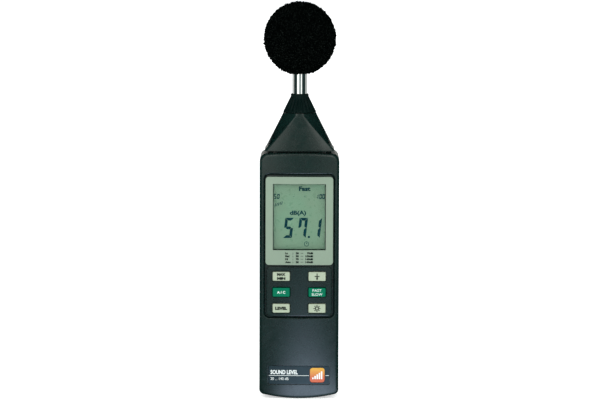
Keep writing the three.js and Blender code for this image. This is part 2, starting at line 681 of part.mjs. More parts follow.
function display() {
  const windowBack = FRONT_Y + FRAME_DEPTH - GAP;
  const glassFront = INSIDE_FRONT + GLASS_SETBACK;
  const glassBack = glassFront + GLASS_THICK;
  const boardSide = BOARD_FRONT - GAP;
  const window = roundedRect(-WINDOW_HALF, WINDOW_HALF, WINDOW_LOW, WINDOW_TOP, WINDOW_CORNER);
  const gasket = frameOf(
    GASKET.half, GASKET.low, GASKET.top, GASKET.border, INSIDE_FRONT + GAP, glassFront - GAP,
  );
  const glass = block([-GLASS_HALF, GLASS_HALF], [glassFront, glassBack], [GLASS_LOW, GLASS_TOP]);
  const holder = frameOf(
    HOLDER.half, GLASS_LOW - HOLDER.reach, GLASS_TOP + HOLDER.reach, HOLDER.border,
    glassFront + HOLDER.setback, boardSide,
  );
  const backlight = block(
    [-BACKLIGHT.half, BACKLIGHT.half], [glassBack + GAP, glassBack + GAP + BACKLIGHT.thick],
    [BACKLIGHT.low, BACKLIGHT.top],
  );
  const strip = (low) => block(
    [-ZEBRA.half, ZEBRA.half], [glassBack + GAP, boardSide], [low, low + ZEBRA.height],
  );
  return group(
    part('display_window', slab(window, windowBack - WINDOW_THICK, windowBack), 'window'),
    part('display_gasket', gasket, 'rubber'),
    part('lcd_glass', glass, 'glass'),
    part('lcd_holder', holder, 'white'),
    part('backlight_panel', backlight, 'white'),
    part('zebra_strip_top', strip(ZEBRA.topLow), 'rubber'),
    part('zebra_strip_bottom', strip(ZEBRA.bottomLow), 'rubber'),
  );
}

// ---- Keypad ----

// A key cap with the flange that keeps it behind the shell, drawn about its own centre.
function keyCap() {
  const flangeFront = INSIDE_FRONT + GAP;
  const cap = solid(slab(keyOutline(0), FRONT_Y - KEY_PROUD, flangeFront + KEY_FLANGE_THICK / 2));
  const flange = solid(slab(keyOutline(KEY_FLANGE), flangeFront, flangeFront + KEY_FLANGE_THICK, 1));
  return surface(cap.add(flange));
}

function keyMat() {
  const sheetBack = BOARD_FRONT - GAP;
  const sheetFront = sheetBack - MAT.thick;
  const stemFront = INSIDE_FRONT + GAP + KEY_FLANGE_THICK + KEY_TRAVEL + GAP;
  const stems = keyCentres().map(([x, z]) => solid(
    barAlongY(STEM_RADIUS, x, z, stemFront, sheetFront + STEM_ROOT, 12),
  ));
  const sheet = slab(
    roundedRect(-MAT.half, MAT.half, MAT.low, MAT.top, MAT.corner), sheetFront, sheetBack, 2,
  );
  return surface(join(solid(sheet), stems));
}

function keypad() {
  const names = ['key_max_min', 'key_power', 'key_weighting', 'key_response', 'key_level', 'key_light'];
  const keys = keyCentres().map(([x, z], index) => {
    const isMiddleRow = z === KEY_ROWS[1];
    const key = part(names[index], keyCap(), isMiddleRow ? 'green' : 'beige');
    key.position.set(x, 0, z);
    return key;
  });
  return group(...keys, part('keypad_mat', keyMat(), 'rubber'));
}

// ---- Electronics ----

function mainBoard() {
  const sheet = solid(slab(
    roundedRect(-BOARD_HALF, BOARD_HALF, BOARD_LOW, BOARD_TOP, BOARD_CORNER), BOARD_FRONT, BOARD_REAR, 3,
  ));
  const holes = BOARD_SCREWS.map(([x, z]) => solid(
    barAlongY(BOARD_SCREW.shank + GAP, x, z, BOARD_FRONT - OVERSHOOT, BOARD_REAR + OVERSHOOT, 12),
  ));
  return surface(cut(sheet, holes));
}

function boardPart({ name, at: [x, z], size: [sizeX, sizeZ], height, material }) {
  const box = block([-sizeX / 2, sizeX / 2], [PART_REST, PART_REST + height], [-sizeZ / 2, sizeZ / 2]);
  const mesh = part(name, box, material);
  mesh.position.set(x, 0, z);
  return mesh;
}

function capacitor([x, z], index) {
  const can = barAlongY(CAPACITOR_RADIUS, x, z, PART_REST, PART_REST + CAPACITOR_HEIGHT);
  return part(`capacitor_${index + 1}`, can, 'chip');
}

function socketBody(backX, half, z) {
  return block([backX, SOCKET_FACE_X], [SOCKET_Y - half, SOCKET_Y + half], [z - half, z + half]);
}

function outputJack(z) {
  const body = solid(socketBody(SOCKET_BACK_X, SOCKET_HALF, z));
  const barrel = solid(barAlongX(JACK_BARREL, SOCKET_Y, z, SOCKET_FACE_X - OVERSHOOT, BARREL_X));
  const bore = solid(barAlongX(JACK_BORE, SOCKET_Y, z, SOCKET_BACK_X + BORE_FLOOR, CASE_HALF));
  return surface(body.add(barrel).subtract(bore));
}

function powerSocket() {
  const body = solid(socketBody(SOCKET_BACK_X, SOCKET_HALF, POWER_Z));
  const barrel = solid(barAlongX(
    POWER_BARREL, SOCKET_Y, POWER_Z, SOCKET_FACE_X - OVERSHOOT, BARREL_X,
  ));
  const bore = solid(barAlongX(
    POWER_BORE, SOCKET_Y, POWER_Z, SOCKET_BACK_X + POWER_BORE_FLOOR, CASE_HALF,
  ));
  const pin = solid(barAlongX(
    POWER_PIN, SOCKET_Y, POWER_Z, SOCKET_BACK_X + BORE_FLOOR, BARREL_X - POWER_PIN_SETBACK, 12,
  ));
  return surface(body.add(barrel).subtract(bore).add(pin));
}

function trimmerBody() {
  const body = solid(socketBody(TRIMMER_BACK_X, TRIMMER_HALF, TRIMMER_Z));
  const seat = barAlongX(
    ROTOR_RADIUS + GAP, SOCKET_Y, TRIMMER_Z, TRIMMER_BACK_X + BORE_FLOOR, CASE_HALF,
  );
  return surface(body.subtract(solid(seat)));
}

function trimmerRotor() {
  const front = CASE_HALF - ROTOR_SETBACK;
  const { depth, half, halfWidth } = ROTOR_SLOT;
  const rotor = barAlongX(ROTOR_RADIUS, SOCKET_Y, TRIMMER_Z, TRIMMER_BACK_X + BORE_FLOOR + GAP, front);
  const slot = block(
    [front - depth, front + OVERSHOOT], [SOCKET_Y - halfWidth, SOCKET_Y + halfWidth],
    [TRIMMER_Z - half, TRIMMER_Z + half],
  );
  return surface(solid(rotor).subtract(solid(slot)));
}

function electronics() {
  const jacks = Object.entries(JACKS).map(([name, z]) => part(name, outputJack(z), 'socket'));
  return group(
    part('main_board', mainBoard(), 'board'),
    ...BOARD_PARTS.map(boardPart),
    ...CAPACITORS.map(capacitor),
    ...jacks,
    part('power_socket', powerSocket(), 'socket'),
    part('trimmer_body', trimmerBody(), 'white'),
    part('trimmer_rotor', trimmerRotor(), 'brass'),
  );
}

// ---- Battery ----

// A lead from the snap connector, up out of the bay and forward to the main board.
function batteryLead(x) {
  const middle = (BATTERY_FRONT + BATTERY_BACK) / 2;
  const route = [[middle, 66.4], [middle - 1, 68.2], [8, 69.4], [0, 69.4], [-6, 70], [-9.2, 72]];
  return wire(route.map(([y, z]) => [x, y, z]), WIRE_RADIUS);
}

function battery() {
  const middle = (BATTERY_FRONT + BATTERY_BACK) / 2;
  const cell = slab(
    roundedRect(-BATTERY_HALF, BATTERY_HALF, BATTERY_LOW, BATTERY_TOP, BATTERY_CORNER),
    BATTERY_FRONT, BATTERY_BACK,
  );
  const snap = slab(
    roundedRect(-BATTERY_HALF, BATTERY_HALF, BATTERY_TOP + GAP, SNAP.top, SNAP.corner),
    middle - SNAP.half, middle + SNAP.half,
  );
  const pad = block([-PAD.half, PAD.half], [PAD.front, BACK_Y - COVER_THICK - GAP], [PAD.low, PAD.top]);
  return group(
    part('battery', cell, 'cell'),
    part('battery_snap', snap, 'chip'),
    part('battery_lead_red', batteryLead(-WIRE_X), 'red'),
    part('battery_lead_black', batteryLead(WIRE_X), 'chip'),
    part('battery_pad', pad, 'foam'),
  );
}

// ---- Fasteners ----

// A pan-head screw along Y with its head at the back, drawn from the underside of the head.
function screw({ head, headThick, shank, length }, sides) {
  const profile = [
    [0, -length], [shank, -length], [shank, 0], [head, 0],
    [head, headThick * HEAD_SIDE], [head * HEAD_FLAT, headThick], [0, headThick],
  ];
  const points = profile.map(([radius, height]) => new THREE.Vector2(radius, height));
  const reach = head * CROSS_SLOT.half;
  const slots = [0, 90].map((degrees) => {
    const slot = block(
      [-reach, reach], [headThick * CROSS_SLOT.floor, headThick + OVERSHOOT],
      [-CROSS_SLOT.halfWidth, CROSS_SLOT.halfWidth],
    );
    return solid(slot.rotateY(THREE.MathUtils.degToRad(degrees)));
  });
  return surface(cut(solid(new THREE.LatheGeometry(points, sides)), slots));
}

function screws(name, places, seatY, geometry) {
  return places.map(([x, z], index) => {
    const mesh = part(`${name}_${index + 1}`, geometry, 'steel');
    mesh.position.set(x, seatY, z);
    return mesh;
  });
}

function tripodInsert() {
  const front = BACK_Y - INSERT_DEPTH;
  const bush = solid(barAlongY(INSERT_RADIUS, 0, INSERT_Z, front, BACK_Y - INSERT_SETBACK, 24));
  const bore = solid(barAlongY(INSERT_BORE, 0, INSERT_Z, front - OVERSHOOT, BACK_Y + OVERSHOOT, 24));
  return surface(bush.subtract(bore));
}

function fasteners() {
  const caseScrew = {
    head: SCREW_HEAD, headThick: SCREW_HEAD_THICK, shank: SCREW_SHANK, length: SCREW_LENGTH,
  };
  const seatY = SCREW_SEAT_Y - SCREW_HEAD_THICK + GAP;
  return group(
    ...screws('case_screw', CASE_SCREWS, seatY, screw(caseScrew, 12)),
    ...screws('board_screw', BOARD_SCREWS, PART_REST, screw(BOARD_SCREW, 10)),
    part('tripod_insert', tripodInsert(), 'brass'),
  );
}

function casing() {
  return group(
    part('front_shell', frontShell(), 'case'),
    part('rear_shell', rearShell(), 'case'),
    part('battery_cover', batteryCover(), 'case'),
    part('nose_cone', noseCone(), 'case'),
    part('title_label', titleLabel(), 'label'),
    part('badge', badge(), 'badge'),
  );
}

const meter = group(casing(), microphone(), display(), keypad(), electronics(), battery(), fasteners());

export default meter;
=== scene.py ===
"""Looks of the handheld sound level meter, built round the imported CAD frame.

Metres, +Z up, display towards -Y. Places come from the boxes of the CAD nodes.
"""
import json
import math

import bmesh
import bpy
from mathutils import Matrix, Quaternion, Vector, noise

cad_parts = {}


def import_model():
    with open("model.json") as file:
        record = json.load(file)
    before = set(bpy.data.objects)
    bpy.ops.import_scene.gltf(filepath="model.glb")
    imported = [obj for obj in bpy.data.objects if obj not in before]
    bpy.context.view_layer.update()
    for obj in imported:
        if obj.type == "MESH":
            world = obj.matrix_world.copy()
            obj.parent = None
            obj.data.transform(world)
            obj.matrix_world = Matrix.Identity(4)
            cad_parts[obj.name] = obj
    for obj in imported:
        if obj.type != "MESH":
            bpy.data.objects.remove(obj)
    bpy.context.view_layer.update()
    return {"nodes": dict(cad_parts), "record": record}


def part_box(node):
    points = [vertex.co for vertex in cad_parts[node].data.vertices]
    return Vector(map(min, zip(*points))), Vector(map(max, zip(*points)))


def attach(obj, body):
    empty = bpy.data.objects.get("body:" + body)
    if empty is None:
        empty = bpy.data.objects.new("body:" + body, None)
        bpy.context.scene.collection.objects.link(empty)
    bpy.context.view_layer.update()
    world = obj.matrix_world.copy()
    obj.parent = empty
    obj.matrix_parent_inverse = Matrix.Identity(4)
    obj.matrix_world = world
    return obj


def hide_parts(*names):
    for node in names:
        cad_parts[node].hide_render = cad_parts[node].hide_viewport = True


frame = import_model()
NODES = frame["nodes"]
MM = 0.001

# Fillets, clearances and tool overshoot
CLEARANCE = 0.3 * MM
EDGE = 0.35 * MM
FINE_EDGE = 0.12 * MM
REACH = 2 * MM
INK = 0.03 * MM

# Case
FRONT_LO, FRONT_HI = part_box("front_shell")
REAR_LO, REAR_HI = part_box("rear_shell")
CASE_HALF = FRONT_HI.x
CASE_TOP = FRONT_HI.z
FACE_Y = FRONT_LO.y
BACK_Y = REAR_HI.y
PARTING_FRONT = FRONT_HI.y
PARTING_BACK = REAR_LO.y
WALL = 2.4 * MM
FACE_WALL = 3 * MM
TONGUE_INSET = 1.35 * MM
TONGUE_REACH = 1 * MM
TONGUE_GAP = 0.12 * MM
EDGE_ROUND = 2.6 * MM
FOOT_ROUND = 5 * MM
BOTTOM_BOW = 3 * MM
TOP_BOW = 0.8 * MM
SHOULDER_HALF = 29.5 * MM
SHOULDER_START = 203.5 * MM
SHOULDER_CONTROL = 209.3 * MM
NECK_OPENING = (CASE_TOP - WALL - REACH, CASE_TOP + REACH)

# The face is crowned: its sides lie further back than its middle
CROWN = 1.3 * MM
CROWN_STRIP = 3 * MM
CROWN_FULL = 4 * MM
CROWN_NONE = 12 * MM

# Sunk frame with the window and the keypad's island
FRAME = (-30.7 * MM, 30.7 * MM, 69.2 * MM, 194.4 * MM)
FRAME_CORNER = 5.4 * MM
FRAME_FLOOR = FACE_Y + 1.4 * MM
TRENCH_FLOOR = FACE_Y + 2.3 * MM
FRAME_EDGE = 0.6 * MM
FRAME_RIM = 0.9 * MM
# The black strip along the trench's outer wall is painted shade for the trench's shadow line. These are
# its outer and inner insets from the frame and its rise off the trench floor.
SHADE_STRIP_OUTER = 0.7 * MM
SHADE_STRIP_INNER = 1.7 * MM
SHADE_STRIP_RISE = 0.6 * MM
ISLAND = (-27.9 * MM, 27.9 * MM, 71.8 * MM, 113.8 * MM)
ISLAND_CORNER = 3.4 * MM
WINDOW_CORNER = 2.8 * MM
VIEW = (-22.5 * MM, 22.5 * MM, 128.4 * MM, 185 * MM)
VIEW_CORNER = 0.5 * MM
GASKET_LIP = 0.5 * MM
GLASS_CORNER = 0.3 * MM

# Keys
KEYS = ["key_max_min", "key_power", "key_weighting", "key_response", "key_level", "key_light"]
GREEN_KEYS = ("key_weighting", "key_response")
KEY_FLANGE = 1.2 * MM
KEY_FLANGE_THICK = 0.35 * MM
KEY_CORNER = 0.8 * MM
KEY_GAP = 0.6 * MM

# Label
LABEL_CORNER = 1.3 * MM
LABEL_DEPTH = 0.9 * MM
LABEL_INSET = 0.25 * MM

# Sockets on the right-hand side, with the radius of each barrel
SIDE_BARRELS = {
    "output_jack_ac": 3 * MM,
    "output_jack_dc": 3 * MM,
    "power_socket": 4.2 * MM,
    "trimmer_rotor": 1.9 * MM,
}

# Screws and their bosses
CASE_SCREWS = ["case_screw_1", "case_screw_2", "case_screw_3", "case_screw_4"]
BOARD_SCREWS = ["board_screw_1", "board_screw_2", "board_screw_3", "board_screw_4"]
CASE_BOSS = 3.4 * MM
CASE_PILOT = 1.55 * MM
BOARD_BOSS = 2.6 * MM
BOARD_PILOT = 1.25 * MM
SCREW_HEAD = 2.7 * MM
SCREW_SEAT = 20.8 * MM

# Battery bay
COVER = (-17 * MM, 17 * MM, 12 * MM, 74 * MM)
COVER_THICK = 2 * MM
COVER_CORNER = 2 * MM
BAY = (Vector((-14.3, 4, 14.4)) * MM, Vector((14.3, 26, 71.6)) * MM)
BAY_WALL = 1.4 * MM
TAB_X = 9 * MM
TAB_HALF = 3 * MM
LEAD_NOTCH = 6 * MM

# Nose and microphone
NOSE_LO, NOSE_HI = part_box("nose_cone")
NOSE_BASE = 212.6 * MM
NOSE_CORNER = 2.5 * MM
NOSE_CROWN = 1.4 * MM
NOSE_BROW = 2.2 * MM
NOSE_FLAT = 11
NOSE_BEND = 6
NOSE_PLATE = 2.4 * MM
# The black gasket under the nose, whose black is also painted shade for the gap's shadow: its inset from
# the nose's foot and its gap below the nose.
NECK_GASKET_SHADE_INSET = 2.5 * MM
NECK_GASKET_SHADE_GAP = 0.05 * MM
NECK = (-24 * MM, 24 * MM, -16.5 * MM, 17.5 * MM)
COLLAR_LO, COLLAR_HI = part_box("microphone_collar")
COLLAR_RADIUS = 14.2 * MM
COLLAR_TOP_RADIUS = 7.4 * MM
FLUTES = 24
FLUTE_DEPTH = 0.85 * MM
FLUTE_SHARPNESS = 0.7
TUBE_LO, TUBE_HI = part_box("preamp_tube")
TUBE_RADIUS = 6.35 * MM
TUBE_BORE = 5.6 * MM
CAPSULE_BORE = 5.2 * MM
KNURL_DEPTH = 0.12 * MM
KNURL_SIDES = 240
SCREEN_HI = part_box("windscreen")[1]
SCREEN_BORE = 6.7 * MM
SCREEN_BORE_TOP = 311.5 * MM
FOAM_TRIM = 0.95 * MM
FOAM_STRETCH = 1.02
FOAM_LIP = 0.8 * MM
FOAM_SKIN = 1.2 * MM
FOAM_BORE_STEPS = 24
FOAM_STEPS = 210
FOAM_SIDES = 380
# Size in mm and height in mm of each of the noises in the foam's surface
FOAM_BUMPS = ((5, 0.3), (1.7, 1.3), (0.9, 0.9))


# ---- Mesh tools ----


def linked(name, data):
    """A new object in the scene."""
    obj = bpy.data.objects.new(name, data)
    bpy.context.scene.collection.objects.link(obj)
    return obj


def mesh_object(name, verts, faces):
    """A closed mesh whose faces point outwards."""
    mesh = bpy.data.meshes.new(name)
    mesh.from_pydata([tuple(v) for v in verts], [], faces)
    work = bmesh.new()
    work.from_mesh(mesh)
    bmesh.ops.recalc_face_normals(work, faces=work.faces)
    work.to_mesh(mesh)
    work.free()
    return linked(name, mesh)


def loft(name, rings, closed=False):
    """A skin through rings of equal length, capped at both ends or closed on itself."""
    count = len(rings[0])
    verts = [point for ring in rings for point in ring]
    spans = len(rings) if closed else len(rings) - 1
    faces = []
    for i in range(spans):
        a, b = i * count, ((i + 1) % len(rings)) * count
        for k in range(count):
            j = (k + 1) % count
            faces.append((a + k, a + j, b + j, b + k))
    if not closed:
        faces.append(tuple(range(count)))
        faces.append(tuple(range(len(verts) - count, len(verts))))
    return mesh_object(name, verts, faces)


def smooth(obj, angle=35):
    """Smooth shading with edges sharper than the angle kept, and flat faces left flat."""
    for face in obj.data.polygons:
        face.use_smooth = True
    obj.data.set_sharp_from_angle(angle=math.radians(angle))
    weighted = obj.modifiers.new("weighted_normals", "WEIGHTED_NORMAL")
    weighted.keep_sharp = True
    return obj


def evaluated_mesh(obj):
    shape = obj.evaluated_get(bpy.context.evaluated_depsgraph_get())
    return bpy.data.meshes.new_from_object(shape)


def settle(obj):
    """Applies every modifier to the mesh."""
    mesh = evaluated_mesh(obj)
    obj.modifiers.clear()
    obj.data = mesh
    return obj


def combine(obj, tools, operation):
    for tool in tools:
        boolean = obj.modifiers.new("boolean", "BOOLEAN")
        boolean.operation = operation
        boolean.solver = "EXACT"
        boolean.object = tool
    settle(obj)
    for tool in tools:
        bpy.data.objects.remove(tool)
    return obj


def cut(obj, tools):
    return combine(obj, tools, "DIFFERENCE")


def join(obj, tools):
    return combine(obj, tools, "UNION")


def merged(name, objects):
    """Several separate solids as one object."""
    work = bmesh.new()
    for obj in objects:
        work.from_mesh(obj.data)
        bpy.data.objects.remove(obj)
    mesh = bpy.data.meshes.new(name)
    work.to_mesh(mesh)
    work.free()
    return linked(name, mesh)


def dress(obj, name, finish, *replaced, body="case", slot=None):
    """Names a piece, gives it a finish, ties it to its body and hides the CAD nodes that it replaces.
    Its slot is not used.
    """
    obj.name = name
    obj.data.materials.clear()
    obj.data.materials.append(FINISH[finish])
    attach(obj, body)
    if replaced:
        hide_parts(*replaced)
    return obj


def middle(node):
    lo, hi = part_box(node)
    return (lo + hi) / 2


# ---- Outlines ----


def rounded_rect(x0, x1, z0, z1, radius, steps=8):
    """Points of a rectangle with round corners, anticlockwise from its lower right corner."""
    corners = [(x1 - radius, z0 + radius), (x1 - radius, z1 - radius)]
    corners += [(x0 + radius, z1 - radius), (x0 + radius, z0 + radius)]
    points = []
    for index, (x, z) in enumerate(corners):
        for step in range(steps + 1):
            turn = math.radians(90 * (index - 1 + step / steps))
            points.append((x + radius * math.cos(turn), z + radius * math.sin(turn)))
    return points


def rect(bounds, radius, steps=8):
    """A rounded rectangle as a function of how far its outline is grown."""
    x0, x1, z0, z1 = bounds

    def outline(grow):
        corner = max(radius + grow, FINE_EDGE)
        return rounded_rect(x0 - grow, x1 + grow, z0 - grow, z1 + grow, corner, steps)

    return outline


def node_rect(node, radius, inset=0.0):
    """The outline of a node's box seen from the front."""
    lo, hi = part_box(node)
    return rect((lo.x + inset, hi.x - inset, lo.z + inset, hi.z - inset), radius)


def grown(outline, by):
    return lambda grow: outline(grow + by)


def bezier(start, control, end, steps):
    """Points of a quadratic curve, without its last one."""
    points = []
    for step in range(steps):
        t = step / steps
        a, b, c = (1 - t) ** 2, 2 * t * (1 - t), t * t
        points.append(tuple(a * p + b * q + c * r for p, q, r in zip(start, control, end)))
    return points


def case_outline(inset):
    """The case seen from the front, anticlockwise from the middle of its foot."""
    side = CASE_HALF - inset
    foot = BOTTOM_BOW + inset
    heel = side - FOOT_ROUND
    top = CASE_TOP - inset
    brow = top - TOP_BOW
    shoulder = SHOULDER_HALF - inset
    straight = foot + FOOT_ROUND
    control = SHOULDER_CONTROL - inset
    right = bezier((0, inset), (heel / 2, inset), (heel, foot), 16)
    right += bezier((heel, foot), (side, foot + BOTTOM_BOW / 5), (side, straight), 10)
    right += [(side, straight + (SHOULDER_START - straight) * i / 8) for i in range(8)]
    right += bezier((side, SHOULDER_START), (side, control), (shoulder, brow), 14)
    right += bezier((shoulder, brow), (shoulder / 2, top), (0, top), 16)
    left = [(-x, z) for x, z in reversed(right[1:])]
    return right + [(0, top)] + left


def at_depth(points, y):
    return [Vector((x, y, z)) for x, z in points]


def at_height(points, z):
    return [Vector((x, y, z)) for x, y in points]


def quarter(steps):
    """Sine and cosine along a quarter turn, for fillets."""
    turns = [math.pi / 2 * i / steps for i in range(steps + 1)]
    return [(math.sin(turn), math.cos(turn)) for turn in turns]


# ---- Solids ----


def round_over(outline, inset, face, sink, steps=4):
    """Rings that round an outline's rim: inset at the face, full once it has sunk."""
    rings = []
    for sine, cosine in quarter(steps):
        rings.append(at_depth(outline(-inset * (1 - sine)), face + sink * (1 - cosine)))
    return rings


def slab(name, outline, front, back, edge=EDGE, back_edge=0.0):
    """An outline carried from a front depth to a back one, with its rims rounded."""
    rings = round_over(outline, edge, front, edge)
    if back_edge:
        return loft(name, rings + round_over(outline, back_edge, back, -back_edge)[::-1])
    return loft(name, [*rings, at_depth(outline(0), back)])


def pocket(outline, face, floor, rim=EDGE, steps=4):
    """The tool that sinks an outline into a face, forwards or backwards, with a rounded rim."""
    inwards = 1 if floor > face else -1
    mouth = at_depth(outline(rim), face - inwards * REACH)
    rings = round_over(outline, -rim, face, inwards * rim, steps)
    return loft("pocket", [mouth, *rings, at_depth(outline(0), floor)])


def ring_plate(name, outer, inner, front, back, edge=EDGE):
    """A flat ring between two outlines of equal length, with its front edges rounded."""
    rings = [at_depth(outer(0), back), *round_over(outer, edge, front, edge, 3)[::-1]]
    rings += [*round_over(inner, -edge, front, edge, 3), at_depth(inner(0), back)]
    return loft(name, rings, closed=True)


def round_ring(radii, height):
    """A level ring about the Z axis, with a radius for each of its points."""
    ring = []
    for k, radius in enumerate(radii):
        turn = 2 * math.pi * k / len(radii)
        ring.append(Vector((radius * math.cos(turn), radius * math.sin(turn), height)))
    return ring


def turned(name, profile, sides=96, closed=False):
    """A profile of (radius, height) points turned about the Z axis."""
    rings = [round_ring([max(radius, 1e-6)] * sides, height) for radius, height in profile]
    return loft(name, rings, closed)


def place(obj, location, axis="Z"):
    """Lays a piece turned about Z along X or Y, then moves it."""
    turns = {"X": (math.pi / 2, "Y"), "Y": (-math.pi / 2, "X"), "Z": (0, "Z")}
    angle, about = turns[axis]
    obj.data.transform(Matrix.Translation(location) @ Matrix.Rotation(angle, 4, about))
    return obj


def in_line(obj, node, axis):
    """Lays a piece turned about Z along an axis through a node's middle."""
    centre = middle(node)
    centre["XYZ".index(axis)] = 0
    return place(obj, centre, axis)


def pillar(node, radius, start, end, sides=32):
    """A round bar or tool along Y, in line with a node."""
    return in_line(turned("pillar", [(radius, start), (radius, end)], sides), node, "Y")


def hole_tool(node, axis, radius, floor, face):
    """The tool for a round hole from a face down to a floor, with a rounded rim."""
    profile = [(radius, floor)]
    for sine, cosine in reversed(quarter(4)):
        profile.append((radius + EDGE * (1 - sine), face - EDGE * (1 - cosine)))
    profile.append((radius + EDGE, face + REACH))
    return in_line(turned("hole", profile, 48), node, axis)


def box_tool(lo, hi):
    base = [(lo[0], lo[1]), (hi[0], lo[1]), (hi[0], hi[1]), (lo[0], hi[1])]
    return loft("box", [at_height(base, lo[2]), at_height(base, hi[2])])


def crown(obj, centre_y=FACE_Y):
    """Bends the front of a piece back towards its sides, as the face is crowned."""
    for vertex in obj.data.vertices:
        depth = vertex.co.y - centre_y
        weight = min(1.0, max(0.0, (CROWN_NONE - depth) / (CROWN_NONE - CROWN_FULL)))
        vertex.co.y += weight * CROWN * (vertex.co.x / CASE_HALF) ** 2
    return obj


def in_strips(obj):
    """Cuts the front of a mesh into upright strips, so that it can follow the crown."""
    work = bmesh.new()
    work.from_mesh(obj.data)
    count = int(CASE_HALF / CROWN_STRIP)
    for i in range(-count, count + 1):
        near = [f for f in work.faces if f.calc_center_median().y < FACE_Y + CROWN_FULL]
        edges = {e for f in near for e in f.edges}
        verts = {v for f in near for v in f.verts}
        bmesh.ops.bisect_plane(
            work, geom=[*verts, *edges, *near], dist=1e-7,
            plane_co=(i * CROWN_STRIP, 0, 0), plane_no=(1, 0, 0),
        )
    work.to_mesh(obj.data)
    work.free()
    return obj


def follow_face(obj):
    return crown(in_strips(obj))


# ---- Prints, whose sizes and places are in millimetres ----


def words(text, bounds, y, weight):
    """Flat letters that face the front and fill a rectangle."""
    curve = bpy.data.curves.new("words", "FONT")
    curve.body = text
    curve.extrude = 0.01
    curve.offset = weight
    curve.resolution_u = 4
    source = linked("words", curve)
    mesh = evaluated_mesh(source)
    bpy.data.objects.remove(source)
    x0, x1, z0, z1 = (bound * MM for bound in bounds)
    xs = [v.co.x for v in mesh.vertices]
    zs = [v.co.y for v in mesh.vertices]
    wide, tall = max(xs) - min(xs), max(zs) - min(zs)
    for vertex in mesh.vertices:
        x, z, rise = vertex.co
        vertex.co.x = x0 + (x - min(xs)) / wide * (x1 - x0)
        vertex.co.z = z0 + (z - min(zs)) / tall * (z1 - z0)
        vertex.co.y = y - (INK if rise > 0 else -INK)
    return linked("words", mesh)


def flat_shape(points, y):
    """A thin printed shape that faces the front."""
    points = [(x * MM, z * MM) for x, z in points]
    return loft("print", [at_depth(points, y - INK), at_depth(points, y + INK)])


def stroke(start, end, width, y):
    """A straight printed line between two points."""
    a, b = Vector(start), Vector(end)
    along = (b - a).normalized()
    across = Vector((-along.y, along.x)) * width / 2
    return flat_shape([a + across, a - across, b - across, b + across], y)


def ring_print(centre, radius, width, y, steps=32):
    """A printed circle."""
    x, z = centre
    inner, outer = (radius - width / 2) * MM, (radius + width / 2) * MM
    section = [(inner, -INK), (outer, -INK), (outer, INK), (inner, INK)]
    rings = []
    for step in range(steps):
        turn = 2 * math.pi * step / steps
        rings.append([
            Vector((x * MM + reach * math.cos(turn), y + depth, z * MM + reach * math.sin(turn)))
            for reach, depth in section
        ])
    return loft("ring", rings, closed=True)


# ---- Materials ----


# Every material by its name here, which the scene may have numbered
FINISH = {}


class Shader:
    """A node material, with short calls for the nodes that the others share."""

    def __init__(self, name):
        self.material = FINISH[name] = bpy.data.materials.new(name)
        self.material.use_nodes = True
        self.nodes = self.material.node_tree.nodes
        self.links = self.material.node_tree.links
        self.surface = self.nodes["Principled BSDF"]

    def feed(self, socket, value):
        """Sets an input to a number or a colour, or links it to another node."""
        if isinstance(value, bpy.types.NodeSocket):
            self.links.new(value, socket)
        else:
            socket.default_value = value

    def add(self, kind, settings=(), **values):
        node = self.nodes.new(f"ShaderNode{kind}")
        for name, value in dict(settings).items():
            setattr(node, name, value)
        for name, value in values.items():
            self.feed(node.inputs[name.replace("_", " ")], value)
        return node

    def place(self):
        return self.add("TexCoord").outputs["Object"]

    def remap(self, value, start=0.0, end=1.0, low=0.0, high=1.0, kind="LINEAR"):
        spans = {"From_Min": start, "From_Max": end, "To_Min": low, "To_Max": high}
        node = self.add("MapRange", {"interpolation_type": kind}, Value=value, **spans)
        return node.outputs["Result"]

    def math(self, operation, a, b=0.0):
        node = self.add("Math", {"operation": operation})
        self.feed(node.inputs[0], a)
        self.feed(node.inputs[1], b)
        return node.outputs["Value"]

    def end(self, node):
        """Makes a node the material's surface."""
        self.links.new(node.outputs[0], self.nodes["Material Output"].inputs["Surface"])
        return self.material


